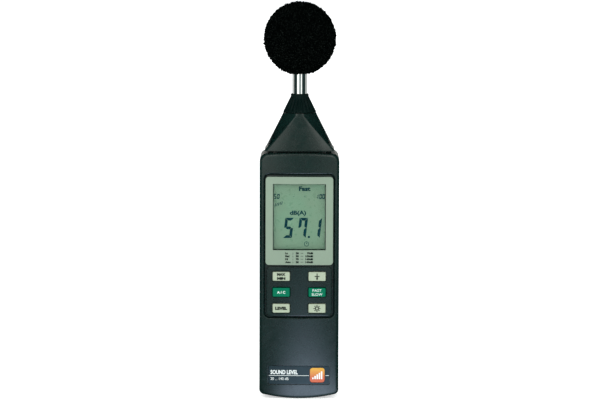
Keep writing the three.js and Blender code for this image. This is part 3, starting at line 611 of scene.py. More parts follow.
class Finish(Shader):
    """A surface whose colour, gloss and relief are varied by patterns.

    A pattern is an axis; noise of a size in mm, with its detail, roughness and stretch; or a
    kind of cells and their size in mm and stretch.
    """

    def __init__(self, name, color, roughness, **sockets):
        super().__init__(name)
        self.color, self.roughness, self.normal = color, roughness, None
        sockets.update(Base_Color=(*color, 1), Roughness=roughness)
        for socket, value in sockets.items():
            self.feed(self.surface.inputs[socket.replace("_", " ")], value)

    def stretched(self, scale):
        return self.add("Mapping", Vector=self.place(), Scale=scale).outputs["Vector"]

    def noise(self, size, detail=3.0, rough=0.5, scale=(1, 1, 1)):
        node = self.add("TexNoise", Vector=self.stretched(scale), Scale=1 / (size * MM),
                        Detail=detail, Roughness=rough)
        return node.outputs["Fac"]

    def cells(self, feature, size, scale=(1, 1, 1)):
        node = self.add("TexVoronoi", {"feature": feature}, Vector=self.stretched(scale),
                        Scale=1 / (size * MM))
        return node.outputs["Distance"]

    def pattern(self, pattern):
        if isinstance(pattern, str):
            return self.add("SeparateXYZ", Vector=self.place()).outputs[pattern]
        return self.cells(*pattern) if isinstance(pattern[0], str) else self.noise(*pattern)

    def tint(self, pattern, other, start=0.3, end=0.7):
        """Mixes in another colour, or the own one made lighter or darker."""
        if not isinstance(other, tuple):
            other = [min(1.0, channel * other) for channel in self.color]
        base = self.surface.inputs["Base Color"]
        mix = self.add("Mix", {"data_type": "RGBA"})
        self.feed(mix.inputs[0], self.remap(self.pattern(pattern), start, end))
        self.feed(mix.inputs[6], base.links[0].from_socket if base.is_linked else (*self.color, 1))
        self.feed(mix.inputs[7], (*other, 1))
        self.feed(base, mix.outputs[2])

    def scuff(self, pattern, spread):
        """Makes the gloss uneven."""
        low, high = max(self.roughness - spread, 0.02), self.roughness + spread
        gloss = self.remap(self.pattern(pattern), 0.3, 0.7, low, high)
        self.feed(self.surface.inputs["Roughness"], gloss)

    def bump(self, pattern, depth, strength):
        """Adds relief, its depth in mm."""
        height = self.pattern(pattern)
        node = self.add("Bump", Strength=strength, Distance=depth * MM, Height=height)
        if self.normal:
            self.feed(node.inputs["Normal"], self.normal)
        self.normal = node.outputs["Normal"]
        self.feed(self.surface.inputs["Normal"], self.normal)


def finish(name, color, roughness, tints, scuff, *bumps, **sockets):
    s = Finish(name, color, roughness, **sockets)
    for tint in tints:
        s.tint(*tint)
    s.scuff(*scuff)
    for bump in bumps:
        s.bump(*bump)
    return s.material


def key_plastic(name, color, spread):
    tints = [((5, 3), 1 - spread), ((0.5, 4, 0.7), 1 + spread, 0.5, 0.8)]
    bump = ((0.5, 4, 0.7), 0.03, 0.4)
    return finish(name, color, 0.45, tints, ((2.5, 2), 0.06), bump, Specular_IOR_Level=0.06)


def ink(name, color, roughness=0.5, gloss=0.5):
    """Screen-printed ink, slightly uneven in cover."""
    tints = [((0.35, 3, 0.6), 0.75, 0.55, 0.85)]
    bump = ((0.2, 2), 0.01, 0.3)
    return finish(name, color, roughness, tints, ((0.8, 2), 0.08), bump, Specular_IOR_Level=gloss)


def moulded(name, color, roughness, contrast=0.82):
    tints = [((0.9, 4, 0.6), contrast, 0.45, 0.8)]
    return finish(name, color, roughness, tints, ((2, 3), 0.06), ((0.3, 3), 0.015, 0.4))


def metal(name, color, roughness, tint, scuff, bump):
    return finish(name, color, roughness, [tint], scuff, bump, Metallic=1.0)


SMEAR_SCALE = 1 / (9 * MM)
PANE_ROUGHNESS = {"low": 0.02, "high": 0.14}
PANE_REFLECTION = {"low": 0.007, "high": 0.6}
PANE_STEEPNESS = 4


def clear_window():
    """A clear hard-coated pane: see-through, with a reflection that grows towards grazing."""
    s = Shader("clear_window")
    s.nodes.remove(s.surface)
    smear = s.add("TexNoise", Scale=SMEAR_SCALE).outputs["Fac"]
    gloss = s.add("BsdfGlossy", Roughness=s.remap(smear, **PANE_ROUGHNESS))
    clear = s.add("BsdfTransparent", Color=(0.97, 0.98, 0.97, 1))
    steep = s.math("POWER", s.add("LayerWeight").outputs["Facing"], PANE_STEEPNESS)
    mix = s.add("MixShader", Fac=s.remap(steep, **PANE_REFLECTION))
    s.feed(mix.inputs[1], clear.outputs["BSDF"])
    s.feed(mix.inputs[2], gloss.outputs["BSDF"])
    return s.end(mix)


def height_on(node, share):
    """The height at a share of the way up a node."""
    lo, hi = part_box(node)
    return lo.z + share * (hi.z - lo.z)


# Patterns that a finish uses twice
GRAIN = (0.45, 4, 0.6)
PORES = ("F1", 0.8)
SCRATCHES = (0.35, 4, 0.6, (1, 1, 14))
BRUSHED = (0.3, 4, 0.6, (12, 1, 1))
TRACKS = ("DISTANCE_TO_EDGE", 2.6, (1, 1, 0.6))
BAND = height_on("battery", 0.7)

# Moulded plastic with a spark-eroded grain, rubber, and foam with dark pores
finish("case_plastic", (0.0016, 0.0105, 0.0088), 0.26, [((22, 2), 1.3), (GRAIN, 1.6, 0.5, 0.9)],
       ((6, 3), 0.04), (GRAIN, 0.05, 0.13))
finish("black_rubber", (0.001, 0.0075, 0.0066), 0.5, [((1.1, 4, 0.7), 2.2, 0.55, 0.85)],
       ((4, 3), 0.08), ((0.5, 3), 0.04, 0.5), Specular_IOR_Level=0.09)
finish("windscreen_foam", (0.0002, 0.0005, 0.0004), 0.95,
       [(PORES, (0.001, 0.0016, 0.0014), 0.35, 0.8),
        ((2.2, 4, 0.7), (0.0006, 0.0012, 0.001), 0.5, 0.75),
        (("F1", 0.9), (0.035, 0.045, 0.04), 0.22, 0.12)],
       ((3,), 0.04), (PORES, 0.5, 0.8), (("SMOOTH_F1", 0.36), 0.18, 0.6), Specular_IOR_Level=0.0)
key_plastic("beige_key", (0.34, 0.4, 0.3), 0.05)
key_plastic("green_key", (0.0005, 0.138, 0.071), 0.1)
# Print under a hard coat, the reflector behind the liquid crystal, and the label
finish("window_print", (0.2, 0.265, 0.202), 0.4,
       [((18, 2), 1.06), ((0.6, 3, 0.6), 0.94, 0.5, 0.8)], ((3, 3), 0.05), ((0.8, 2), 0.01, 0.25),
       Specular_IOR_Level=0.2, Coat_Weight=0.15, Coat_Roughness=0.15)
finish("lcd_glass", (0.165, 0.262, 0.18), 0.3,
       [((16, 2), (0.15, 0.275, 0.185)), ((0.5, 3, 0.7), 0.88, 0.5, 0.8)],
       ((3, 2), 0.04), ((0.3, 2), 0.008, 0.3), Coat_Weight=0.3, Coat_Roughness=0.08)
finish("label_sheet", (0.007, 0.019, 0.024), 0.4, [((9, 2), 1.25), ((0.5, 4, 0.6), 1.5, 0.5, 0.85)],
       ((2, 3), 0.05), ((0.4, 3), 0.02, 0.4), Specular_IOR_Level=0.24)
# Enamel that runs from orange-red at its foot to yellow at its top
finish("badge_enamel", (0.46, 0.09, 0.03), 0.3,
       [("Z", (0.62, 0.34, 0.035), height_on("badge", 0.3), height_on("badge", 1)),
        ((0.5, 3), 0.85, 0.6, 0.95)],
       ((1, 2), 0.04), ((0.6, 2), 0.01, 0.3),
       Specular_IOR_Level=0.2, Coat_Weight=0.2, Coat_Roughness=0.1)
metal("polished_metal", (0.80, 0.83, 0.84), 0.09, ((5, 3), 0.94), (SCRATCHES, 0.03),
      (SCRATCHES, 0.003, 0.25))
metal("plated_steel", (0.56, 0.57, 0.58), 0.32, ((1.5, 4, 0.7), 0.72, 0.5, 0.8),
      (BRUSHED, 0.08), (BRUSHED, 0.01, 0.4))
metal("turned_brass", (0.72, 0.50, 0.20), 0.28, ((1.2, 4, 0.7), 0.65, 0.5, 0.8),
      ((0.4, 3), 0.07), ((0.25, 2, 0.5, (1, 8, 1)), 0.01, 0.4))
# Green solder resist over copper tracks
finish("circuit_board", (0.012, 0.11, 0.05), 0.35,
       [(TRACKS, 1.9, 0.06, 0.03), ((0.4, 3), 0.7, 0.55, 0.8)], ((1.5, 3), 0.06), (TRACKS, 0.05, 0.4))
moulded("chip_epoxy", (0.014, 0.014, 0.016), 0.5, 2.2)
moulded("socket_plastic", (0.012, 0.012, 0.014), 0.35, 1.8)
moulded("white_plastic", (0.72, 0.73, 0.69), 0.4)
moulded("red_wire", (0.42, 0.015, 0.01), 0.4)
# A dark printed metal jacket with a copper-coloured band at its top
finish("battery_jacket", (0.02, 0.021, 0.026), 0.33,
       [("Z", (0.55, 0.25, 0.08), BAND, BAND + 0.2 * MM), ((3, 3), 0.6, 0.62, 0.8)],
       ((1, 3), 0.06), ((0.9, 3), 0.02, 0.4), Metallic=0.6)
clear_window()
ink("ink_black", (0.002, 0.006, 0.005), 0.5, 0.1)
ink("ink_white", (0.72, 0.78, 0.76))
ink("ink_lcd", (0.0003, 0.03, 0.042), 0.35, 0.1)
ink("ink_lcd_faint", (0.05, 0.1, 0.09), 0.35)


def dress_cad_nodes():
    """Gives every CAD node its slot's finish, and a fine bevel on its hard edges."""
    slots = {s["node"]: s["material_slot"] for s in frame["record"]["subparts"]}
    for name, node in NODES.items():
        node.data.materials.clear()
        node.data.materials.append(FINISH[slots[name]])
        bevel = node.modifiers.new("bevel", "BEVEL")
        bevel.width = FINE_EDGE
        bevel.segments = 2
        bevel.limit_method = "ANGLE"
        bevel.angle_limit = math.radians(40)


# ---- Case ----


def case_grown(grow):
    return case_outline(-grow)


def case_skin():
    """The outside of both shells together."""
    front = round_over(case_grown, EDGE_ROUND, FACE_Y, EDGE_ROUND, 8)
    back = round_over(case_grown, EDGE_ROUND, BACK_Y, -EDGE_ROUND, 8)
    return loft("case", front + back[::-1])


def half_of_case(outer, inner):
    """One shell's wall: the skin between two depths, hollowed between two others."""
    big = 2 * CASE_HALF
    keep = box_tool((-big, outer[0], -big), (big, outer[1], 4 * big))
    hollow = loft("hollow", [at_depth(case_outline(WALL), y) for y in inner])
    return cut(combine(case_skin(), [keep], "INTERSECT"), [hollow, neck_opening()])


def neck_prism(grow, heights):
    """A solid or a tool with the outline of the nose's neck."""
    return loft("neck", [at_height(rect(NECK, NOSE_CORNER)(grow), z) for z in heights])


def neck_opening():
    """The tool for the opening in the case's top that the nose's neck goes through."""
    return neck_prism(CLEARANCE, NECK_OPENING)


def tongue():
    """The thin rim on the rear shell that closes the joint from inside."""
    outer, inner = case_outline(TONGUE_INSET), case_outline(WALL)
    tip, root = PARTING_FRONT - TONGUE_REACH, PARTING_BACK + EDGE
    rings = [at_depth(outer, tip), at_depth(outer, root), at_depth(inner, root), at_depth(inner, tip)]
    notches = [pillar(s, CASE_BOSS + CLEARANCE, tip - REACH, PARTING_BACK) for s in CASE_SCREWS]
    return cut(loft("tongue", rings, closed=True), [neck_opening(), *notches])


def cap_outline(key):
    """A key cap's outline: its node's box without the flange behind the face."""
    return node_rect(key, KEY_CORNER, KEY_FLANGE)


def front_shell():
    inside = FACE_Y + FACE_WALL
    through = inside + REACH
    shell = half_of_case((FACE_Y - REACH, PARTING_FRONT), (inside, PARTING_FRONT + REACH))
    recess = [case_outline(TONGUE_INSET - TONGUE_GAP)] * 2
    depths = (PARTING_FRONT - TONGUE_REACH - TONGUE_GAP, PARTING_FRONT + REACH)
    cut(shell, [loft("recess", [at_depth(*ring) for ring in zip(recess, depths)])])
    sunk = grown(rect(FRAME, FRAME_CORNER), -FRAME_EDGE)
    cut(shell, [pocket(sunk, FACE_Y, TRENCH_FLOOR, FRAME_RIM, 6)])
    island = slab("island", rect(ISLAND, ISLAND_CORNER), FACE_Y, TRENCH_FLOOR + EDGE, FRAME_EDGE)
    seat = grown(node_rect("display_window", WINDOW_CORNER), -2 * EDGE)
    join(shell, [island, slab("seat", seat, FRAME_FLOOR, TRENCH_FLOOR + EDGE, FINE_EDGE)])
    holes = [pocket(grown(cap_outline(key), KEY_GAP), FACE_Y, through) for key in KEYS]
    holes.append(pocket(rect(VIEW, VIEW_CORNER), FRAME_FLOOR, through, FINE_EDGE))
    label = grown(node_rect("title_label", LABEL_CORNER), CLEARANCE)
    holes.append(pocket(label, FACE_Y, FACE_Y + LABEL_DEPTH))
    inner_side = CASE_HALF - WALL - REACH
    for node, radius in SIDE_BARRELS.items():
        holes.append(hole_tool(node, "X", radius + CLEARANCE, inner_side, CASE_HALF))
    cut(shell, holes)
    board_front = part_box("main_board")[0].y - CLEARANCE
    bosses = [pillar(s, BOARD_BOSS, inside - EDGE, board_front) for s in BOARD_SCREWS]
    bosses += [pillar(s, CASE_BOSS, inside - EDGE, PARTING_FRONT) for s in CASE_SCREWS]
    join(shell, bosses)
    pilots = [pillar(s, BOARD_PILOT, inside + EDGE, board_front + REACH) for s in BOARD_SCREWS]
    for screw in CASE_SCREWS:
        pilots.append(pillar(screw, CASE_PILOT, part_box(screw)[0].y - EDGE, PARTING_FRONT + REACH))
    cut(shell, pilots)
    follow_face(shell)
    dress(smooth(shell), "case_front", "case_plastic", "front_shell")


def trench_shade_strip():
    """A black rubber strip along the sunk frame's outer wall. It is painted shade that stands in for the
    dark shadow line in the trench.
    """
    frame_outline = rect(FRAME, FRAME_CORNER)
    shade_strip = ring_plate(
        "shade_strip", grown(frame_outline, -SHADE_STRIP_OUTER), grown(frame_outline, -SHADE_STRIP_INNER),
        TRENCH_FLOOR - SHADE_STRIP_RISE, TRENCH_FLOOR,
    )
    dress(smooth(follow_face(shade_strip)), "trench_shade_strip", "black_rubber")


def tab_slot(side):
    """The tool for the slot that a tab of the battery cover hooks into."""
    inside = BACK_Y - WALL
    reach = TAB_HALF + 0.4 * MM
    lo = (side * TAB_X - reach, inside - 2.6 * MM, COVER[2] - 2.4 * MM)
    return box_tool(lo, (side * TAB_X + reach, inside + CLEARANCE, BAY[0].z + CLEARANCE))


def rear_shell():
    inside = BACK_Y - WALL
    shell = half_of_case((PARTING_BACK, BACK_Y + REACH), (PARTING_BACK - REACH, inside))
    lo, hi = BAY
    insert_lo, insert_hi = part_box("tripod_insert")
    insert = (insert_hi.x - insert_lo.x) / 2
    boss_back = BACK_Y - EDGE_ROUND / 2
    bay = box_tool(
        (lo.x - BAY_WALL, lo.y - BAY_WALL, lo.z - BAY_WALL),
        (hi.x + BAY_WALL, inside + EDGE, hi.z + BAY_WALL),
    )
    rim = box_tool(
        (COVER[0] - BAY_WALL, inside - BAY_WALL, COVER[2] - BAY_WALL),
        (COVER[1] + BAY_WALL, inside + EDGE, COVER[3] + BAY_WALL),
    )
    bosses = [pillar(s, CASE_BOSS, PARTING_BACK, boss_back) for s in CASE_SCREWS]
    bosses.append(pillar("tripod_insert", insert + REACH, insert_lo.y - REACH, boss_back, 48))
    join(shell, [bay, rim, tongue(), *bosses])
    seat = grown(rect(COVER, COVER_CORNER), CLEARANCE)
    tools = [pocket(seat, BACK_Y, BACK_Y - COVER_THICK - CLEARANCE)]
    tools.append(box_tool(lo, hi))
    tools += [tab_slot(side) for side in (-1, 1)]
    notch = (LEAD_NOTCH, lo.y + EDGE, hi.z)
    tools.append(box_tool((-LEAD_NOTCH, lo.y - REACH, hi.z - 5 * MM), notch))
    for screw in CASE_SCREWS:
        tools.append(pillar(screw, CASE_PILOT, PARTING_BACK - REACH, BACK_Y))
        tools.append(hole_tool(screw, "Y", SCREW_HEAD + CLEARANCE, SCREW_SEAT, BACK_Y))
    sink_floor = insert_lo.y - CLEARANCE
    tools.append(hole_tool("tripod_insert", "Y", insert + CLEARANCE, sink_floor, BACK_Y))
    cut(shell, tools)
    dress(smooth(shell), "case_rear", "case_plastic", "rear_shell")


def thumb_hollow():
    """The tool for the shallow hollow that a thumb opens the battery cover by."""
    profile = [(0, -9), (1.6, -8.6), (2.6, -7.4), (3, -5), (3, 5), (2.6, 7.4), (1.6, 8.6), (0, 9)]
    hollow = turned("hollow", [(radius * MM, x * MM) for radius, x in profile], 64)
    return place(hollow, (0, BACK_Y + 2.1 * MM, COVER[3] - 7 * MM), "X")


def grip_grooves():
    """The tools for the grooves under the thumb hollow, each shorter than the last."""
    tools = []
    for i in range(6):
        z = COVER[3] - (13 + 2.4 * i) * MM
        half = (9 - 1.1 * i) * MM
        groove = rounded_rect(-half, half, z - 0.5 * MM, z + 0.5 * MM, 0.45 * MM, 4)
        depths = (BACK_Y - 0.45 * MM, BACK_Y + REACH)
        tools.append(loft("groove", [at_depth(groove, y) for y in depths]))
    return tools


def battery_door():
    x0, x1, z0, _ = COVER
    inside = BACK_Y - WALL
    plate = slab("door", rect(COVER, COVER_CORNER), BACK_Y - COVER_THICK, BACK_Y, FINE_EDGE, EDGE)
    tabs = []
    for side in (-1, 1):
        lo = (side * TAB_X - TAB_HALF, inside - 1.2 * MM, z0 - 1.6 * MM)
        hi = (side * TAB_X + TAB_HALF, BACK_Y - COVER_THICK + EDGE, z0 + 3.5 * MM)
        tabs.append(box_tool(lo, hi))
    join(plate, tabs)
    lip = box_tool((x0, inside - CLEARANCE, z0 - 3 * MM), (x1, BACK_Y, z0))
    cut(plate, [lip, thumb_hollow(), *grip_grooves()])
    dress(smooth(plate), "battery_door", "case_plastic", "battery_cover", body="battery_cover")


def battery_foam():
    """The pad on the cover that holds the battery down, with its corners pressed in."""
    lo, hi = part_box("battery_pad")
    outline = node_rect("battery_pad", 2 * MM)
    back = [(-1.2, 0), (-0.5, 0.1), (0, 0.35)]
    front = [(0, 0.45), (-0.5, 0.15), (-1.6, 0), (-4, 0), (-7, 0)]
    rings = [at_depth(outline(grow * MM), hi.y - depth * MM) for grow, depth in back]
    rings += [at_depth(outline(grow * MM), lo.y + depth * MM) for grow, depth in front]
    pad = loft("pad", rings)
    dress(smooth(pad, 60), "battery_foam", "windscreen_foam", "battery_pad", body="battery_cover")


# ---- Nose and microphone ----


def nose_base(inset):
    """The nose's foot: a round-cornered rectangle whose front is crowned."""
    x, front, back = NOSE_HI.x - inset, NOSE_LO.y + inset, NOSE_HI.y - inset
    corner = NOSE_CORNER
    flat = x - corner
    points = []
    for i in range(12):
        across = -flat + 2 * flat * i / 12
        points.append((across, front + NOSE_CROWN * (across / x) ** 2))
    side = front + NOSE_CROWN + corner
    points += bezier((flat, side - corner), (x, side - corner), (x, side), 6)
    points += [(x, side + (back - corner - side) * i / 12) for i in range(12)]
    points += bezier((x, back - corner), (x, back), (flat, back), 6)
    points += [(flat - 2 * flat * i / 12, back) for i in range(12)]
    points += bezier((-flat, back), (-x, back), (-x, back - corner), 6)
    points += [(-x, back - corner + (side - back + corner) * i / 12) for i in range(12)]
    points += bezier((-x, side), (-x, side - corner), (-flat, side - corner), 6)
    return points


def nose_top(inset):
    """The nose's top, matched to its foot: a circle with a flat at the front and the back."""
    radius = COLLAR_RADIUS + 0.46 * NOSE_BROW - inset
    flat, bend = NOSE_FLAT, NOSE_BEND
    points = []
    for half_turn in (-90, 90):
        stops = [-flat, flat, flat + bend, 180 - flat - bend, 180 - flat]
        for start, end, count in zip(stops, stops[1:], (12, 6, 12, 6)):
            for i in range(count):
                turn = math.radians(half_turn + start + (end - start) * i / count)
                x, y = radius * math.cos(turn), radius * math.sin(turn)
                if start == -flat:
                    y = math.copysign(radius * math.cos(math.radians(flat)), y)
                points.append((x, y))
    return points


def nose_skin(inset, low, top):
    rim = 1 * MM
    foot, head = nose_base(inset), nose_top(inset)
    rings = [at_height(nose_base(inset + FINE_EDGE), low), at_height(foot, low + FINE_EDGE)]
    rings.append(at_height(foot, low + rim))
    brow = top - NOSE_BROW
    for i in range(1, 13):
        t = i / 12
        blend = [(a[0] + (b[0] - a[0]) * t, a[1] + (b[1] - a[1]) * t) for a, b in zip(foot, head)]
        rings.append(at_height(blend, low + rim + (brow - low - rim) * t))
    radius = COLLAR_RADIUS - inset
    rings.append(at_height([tuple(Vector(p).normalized() * radius) for p in head], top))
    return loft("nose", rings)


def nose():
    """The tapering piece over the case's top, on a neck that reaches into the case."""
    top = NOSE_HI.z
    skin = nose_skin(0, NOSE_BASE, top)
    cut(skin, [nose_skin(WALL, NOSE_BASE + WALL, top - NOSE_PLATE)])
    join(skin, [neck_prism(0, (NOSE_LO.z, NOSE_BASE + EDGE))])
    heights = (top - 2 * NOSE_PLATE, top + REACH)
    bore = turned("bore", [(TUBE_RADIUS + CLEARANCE, z) for z in heights])
    cut(skin, [neck_prism(-WALL, (NOSE_LO.z - REACH, NOSE_BASE + WALL + EDGE)), bore])
    dress(smooth(skin, 16), "nose", "case_plastic", "nose_cone")


def neck_gasket_and_gap_shade():
    """The black rubber gasket between the nose and the top of the case. Its black is also painted shade
    for the shadow in the gap there.
    """
    heights = (CASE_TOP - TOP_BOW - EDGE, NOSE_BASE - NECK_GASKET_SHADE_GAP)
    gasket = loft("gasket", [at_height(nose_base(NECK_GASKET_SHADE_INSET), z) for z in heights])
    cut(gasket, [case_skin(), neck_opening()])
    dress(smooth(gasket), "neck_gasket_and_gap_shade", "black_rubber")


def collar():
    """A cone with a smooth rim. Its flutes are deepest half-way down and fade towards the rim."""
    low, top = COLLAR_LO.z, COLLAR_HI.z
    bore = TUBE_RADIUS + CLEARANCE
    rim = top - 2 * MM
    profile = [(bore, low, 0), (COLLAR_RADIUS - 0.5 * MM, low, 0), (COLLAR_RADIUS, low + 0.4 * MM, 0.1)]
    for i in range(11):
        t = i / 10
        radius = COLLAR_RADIUS - 0.2 * MM + (COLLAR_TOP_RADIUS + 0.4 * MM - COLLAR_RADIUS) * t
        fade = min(1.0, 0.35 + 3 * t) * min(1.0, 3.2 * (1 - t))
        profile.append((radius, low + 1.2 * MM + (rim - low - 1.2 * MM) * t, fade))
    for out, height in ((0.3, rim + 0.5 * MM), (0.2, top - 0.4 * MM), (-0.15, top)):
        profile.append((COLLAR_TOP_RADIUS + out * MM, height, 0))
    profile.append((bore, top, 0))
    sides = FLUTES * 12
    waves = [
        (0.5 + 0.5 * math.cos(FLUTES * 2 * math.pi * k / sides)) ** FLUTE_SHARPNESS for k in range(sides)
    ]
    rings = []
    for radius, height, fade in profile:
        rings.append(round_ring([radius - FLUTE_DEPTH * fade * wave for wave in waves], height))
    body = loft("collar", rings, closed=True)
    dress(smooth(body, 50), "collar", "black_rubber", "microphone_collar")


def rounded_profile(corners, radius=0.15 * MM):
    """A closed profile with each of its corners cut to two short chamfers."""
    points = []
    for i, corner in enumerate(corners):
        here = Vector(corner)
        for other in (Vector(corners[i - 1]), Vector(corners[(i + 1) % len(corners)])):
            reach = min(radius, (other - here).length / 3)
            points.append(tuple(here + (other - here).normalized() * reach))
    return points


def tube():
    """The polished tube, with a flange inside the nose and two fine grooves near its top."""
    low, top = TUBE_LO.z, TUBE_HI.z
    flange_low, flange_top, flange = 236 * MM, 238.2 * MM, 8.6 * MM
    corners = [(TUBE_BORE, low), (TUBE_RADIUS, low), (TUBE_RADIUS, flange_low), (flange, flange_low)]
    corners += [(flange, flange_top), (TUBE_RADIUS, flange_top)]
    for groove in (top - 5 * MM, top - 3.6 * MM):
        corners += [(TUBE_RADIUS, groove), (TUBE_RADIUS - 0.25 * MM, groove)]
        corners += [(TUBE_RADIUS - 0.25 * MM, groove + 0.5 * MM), (TUBE_RADIUS, groove + 0.5 * MM)]
    corners += [(TUBE_RADIUS, top), (TUBE_BORE, top)]
    body = turned("tube", rounded_profile(corners), 128, closed=True)
    dress(smooth(body, 50), "tube", "polished_metal", "preamp_tube")


def capsule():
    """The microphone's housing, with a knurled band to unscrew it by."""
    lo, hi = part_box("microphone_capsule")
    bore = CAPSULE_BORE
    low, top = lo.z, hi.z
    rings = []
    corners = [(bore, low), (TUBE_RADIUS, low), (TUBE_RADIUS, low + 1.5 * MM)]
    corners += [(TUBE_RADIUS - 0.25 * MM, low + 1.7 * MM), (TUBE_RADIUS, low + 2 * MM)]
    corners += [(TUBE_RADIUS, low + 5.4 * MM), (TUBE_RADIUS - 0.25 * MM, low + 5.7 * MM)]
    corners += [(TUBE_RADIUS, low + 6 * MM), (TUBE_RADIUS, top), (bore, top)]
    for radius, height in rounded_profile(corners, 0.1 * MM):
        in_band = low + 1.8 * MM < height < low + 5.6 * MM and radius > bore + EDGE
        knurl = KNURL_DEPTH if in_band else 0
        radii = [radius - (knurl if k % 4 < 2 else 0) for k in range(KNURL_SIDES)]
        rings.append(round_ring(radii, height))
    body = loft("capsule", rings, closed=True)
    dress(smooth(body, 30), "capsule", "polished_metal", "microphone_capsule")


def grid():
    """The slotted cap over the diaphragm."""
    lo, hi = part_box("protection_grid")
    bore = CAPSULE_BORE
    low, top = lo.z, hi.z
    profile = [(bore, low), (TUBE_RADIUS - FINE_EDGE, low), (TUBE_RADIUS, low + FINE_EDGE)]
    profile += [(TUBE_RADIUS - 0.7 * MM * (1 - c), top - 0.7 * MM * (1 - s)) for s, c in quarter(5)]
    profile += [(0, top), (0, top - 0.9 * MM), (bore, top - 0.9 * MM)]
    cap = turned("grid", profile, 96, closed=True)
    slots = []
    for turn in range(0, 180, 30):
        slot = box_tool((-5 * MM, -0.3 * MM, top - 2 * MM), (5 * MM, 0.3 * MM, top + REACH))
        slot.data.transform(Matrix.Rotation(math.radians(turn), 4, "Z"))
        slots.append(slot)
    hub = turned("hub", [(1.4 * MM, top - 0.9 * MM), (1.4 * MM, top - FINE_EDGE), (1.2 * MM, top)], 48)
    cut(cap, slots)
    join(cap, [hub])
    dress(smooth(cap), "grid", "polished_metal", "protection_grid")


def seal():
    """The rubber ring that grips the tube inside the nose."""
    lo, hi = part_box("tube_seal")
    bore = TUBE_RADIUS + CLEARANCE
    corners = [(bore, lo.z), (hi.x, lo.z), (hi.x, lo.z + 1.6 * MM), (hi.x - 0.5 * MM, lo.z + 2 * MM)]
    corners += [(hi.x, lo.z + 2.4 * MM), (hi.x, hi.z), (bore, hi.z)]
    body = turned("seal", rounded_profile(corners), 96, closed=True)
    dress(smooth(body, 40), "seal", "black_rubber", "tube_seal")


def foam_ball():
    """The windscreen: a foam ball with a blind bore and a cut, open-celled surface."""
    centre = middle("windscreen")
    radius = SCREEN_HI.x - FOAM_TRIM
    centre.z = SCREEN_HI.z - SCREEN_HI.x
    mouth = math.asin((SCREEN_BORE + FOAM_LIP) / radius)
    mouth_z = centre.z - radius * math.cos(mouth)
    profile = [(0, SCREEN_BORE_TOP), (SCREEN_BORE * 0.6, SCREEN_BORE_TOP)]
    profile.append((SCREEN_BORE, SCREEN_BORE_TOP - FOAM_LIP))
    fall = mouth_z + FOAM_SKIN - SCREEN_BORE_TOP
    for i in range(1, FOAM_BORE_STEPS + 1):
        profile.append((SCREEN_BORE, SCREEN_BORE_TOP + fall * i / FOAM_BORE_STEPS))
    profile.append((SCREEN_BORE + 0.25 * MM, mouth_z + 0.4 * MM))
    for i in range(FOAM_STEPS + 1):
        turn = mouth + (math.pi - mouth) * i / FOAM_STEPS
        tall = radius * FOAM_STRETCH
        profile.append((radius * math.sin(turn), centre.z - tall * math.cos(turn)))
    ball = turned("foam", profile, FOAM_SIDES)
    for vertex in ball.data.vertices:
        ray = vertex.co - centre
        if ray.length < radius - FOAM_SKIN:
            continue
        shift = sum(high * noise.noise(vertex.co / (size * MM)) for size, high in FOAM_BUMPS)
        vertex.co += ray.normalized() * shift * MM
    dress(smooth(ball, 80), "foam_ball", "windscreen_foam", "windscreen", body="windscreen")


# ---- Display ----


def window_border():
    """The printed border of the window, with a clear pane in its opening."""
    lo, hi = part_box("display_window")
    view = rect(VIEW, VIEW_CORNER)
    edge = node_rect("display_window", WINDOW_CORNER)
    border = follow_face(ring_plate("border", edge, view, lo.y, hi.y))
    dress(smooth(border), "window_border", "window_print", "display_window")
    pane = slab("pane", grown(view, -0.05 * MM), lo.y + 0.15 * MM, hi.y - 0.1 * MM, FINE_EDGE)
    dress(smooth(follow_face(pane)), "window_pane", "clear_window", slot="lcd_glass")


def gasket():
    """The rubber frame round the display, with a thin lip towards the glass."""
    lo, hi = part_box("display_gasket")
    view = rect(VIEW, VIEW_CORNER)
    ring = ring_plate("gasket", node_rect("display_gasket", 1.5 * MM), view, lo.y, hi.y)
    lip = ring_plate("lip", view, grown(view, -GASKET_LIP), lo.y + CLEARANCE, hi.y, FINE_EDGE)
    dress(smooth(join(ring, [lip])), "gasket", "black_rubber", "display_gasket")


def liquid_crystal():
    """Two sheets of glass, the back one shorter at its foot, held together by glue."""
    lo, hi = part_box("lcd_glass")
    front = slab("glass", node_rect("lcd_glass", GLASS_CORNER), lo.y, lo.y + 1.05 * MM, FINE_EDGE)
    back_rect = rect((lo.x, hi.x, lo.z + 2.4 * MM, hi.z), GLASS_CORNER)
    back = slab("glass", back_rect, lo.y + 1.15 * MM, hi.y, FINE_EDGE)
    glue = slab("glue", grown(back_rect, -0.9 * MM), lo.y + 1 * MM, lo.y + 1.2 * MM, 0.02 * MM)
    dress(smooth(join(front, [back, glue])), "liquid_crystal", "lcd_glass", "lcd_glass")


# The bars of each digit, and the digits shown with their left and right edges, in mm
SEGMENTS = {"0": "abcdef", "1": "bc", "5": "afgcd", "7": "abcf"}
READING_ROW = (138.4, 155.8)
READING = [("5", -14, -6.4), ("7", -1.9, 5.4), ("1", 10.4, 17.4)]
SCALE_ROW = (171.9, 176.2)
SCALE_ENDS = [
    ("5", -22, -19.8), ("0", -19.3, -17.1), ("1", 13.8, 16), ("0", 16.9, 19.1), ("0", 19.4, 21.6),
]
DISPLAY_WORDS = [("Fast", (-0.4, 9.4, 178.7, 182.7), 0.045), ("dB(A)", (-8.2, 5.7, 157.2, 162), 0.04)]
TICK_START = (-20.8, 165.2)
TICK_STEP = (1.42, 0.45)
TICK_RISE = (0.55, 2.8)


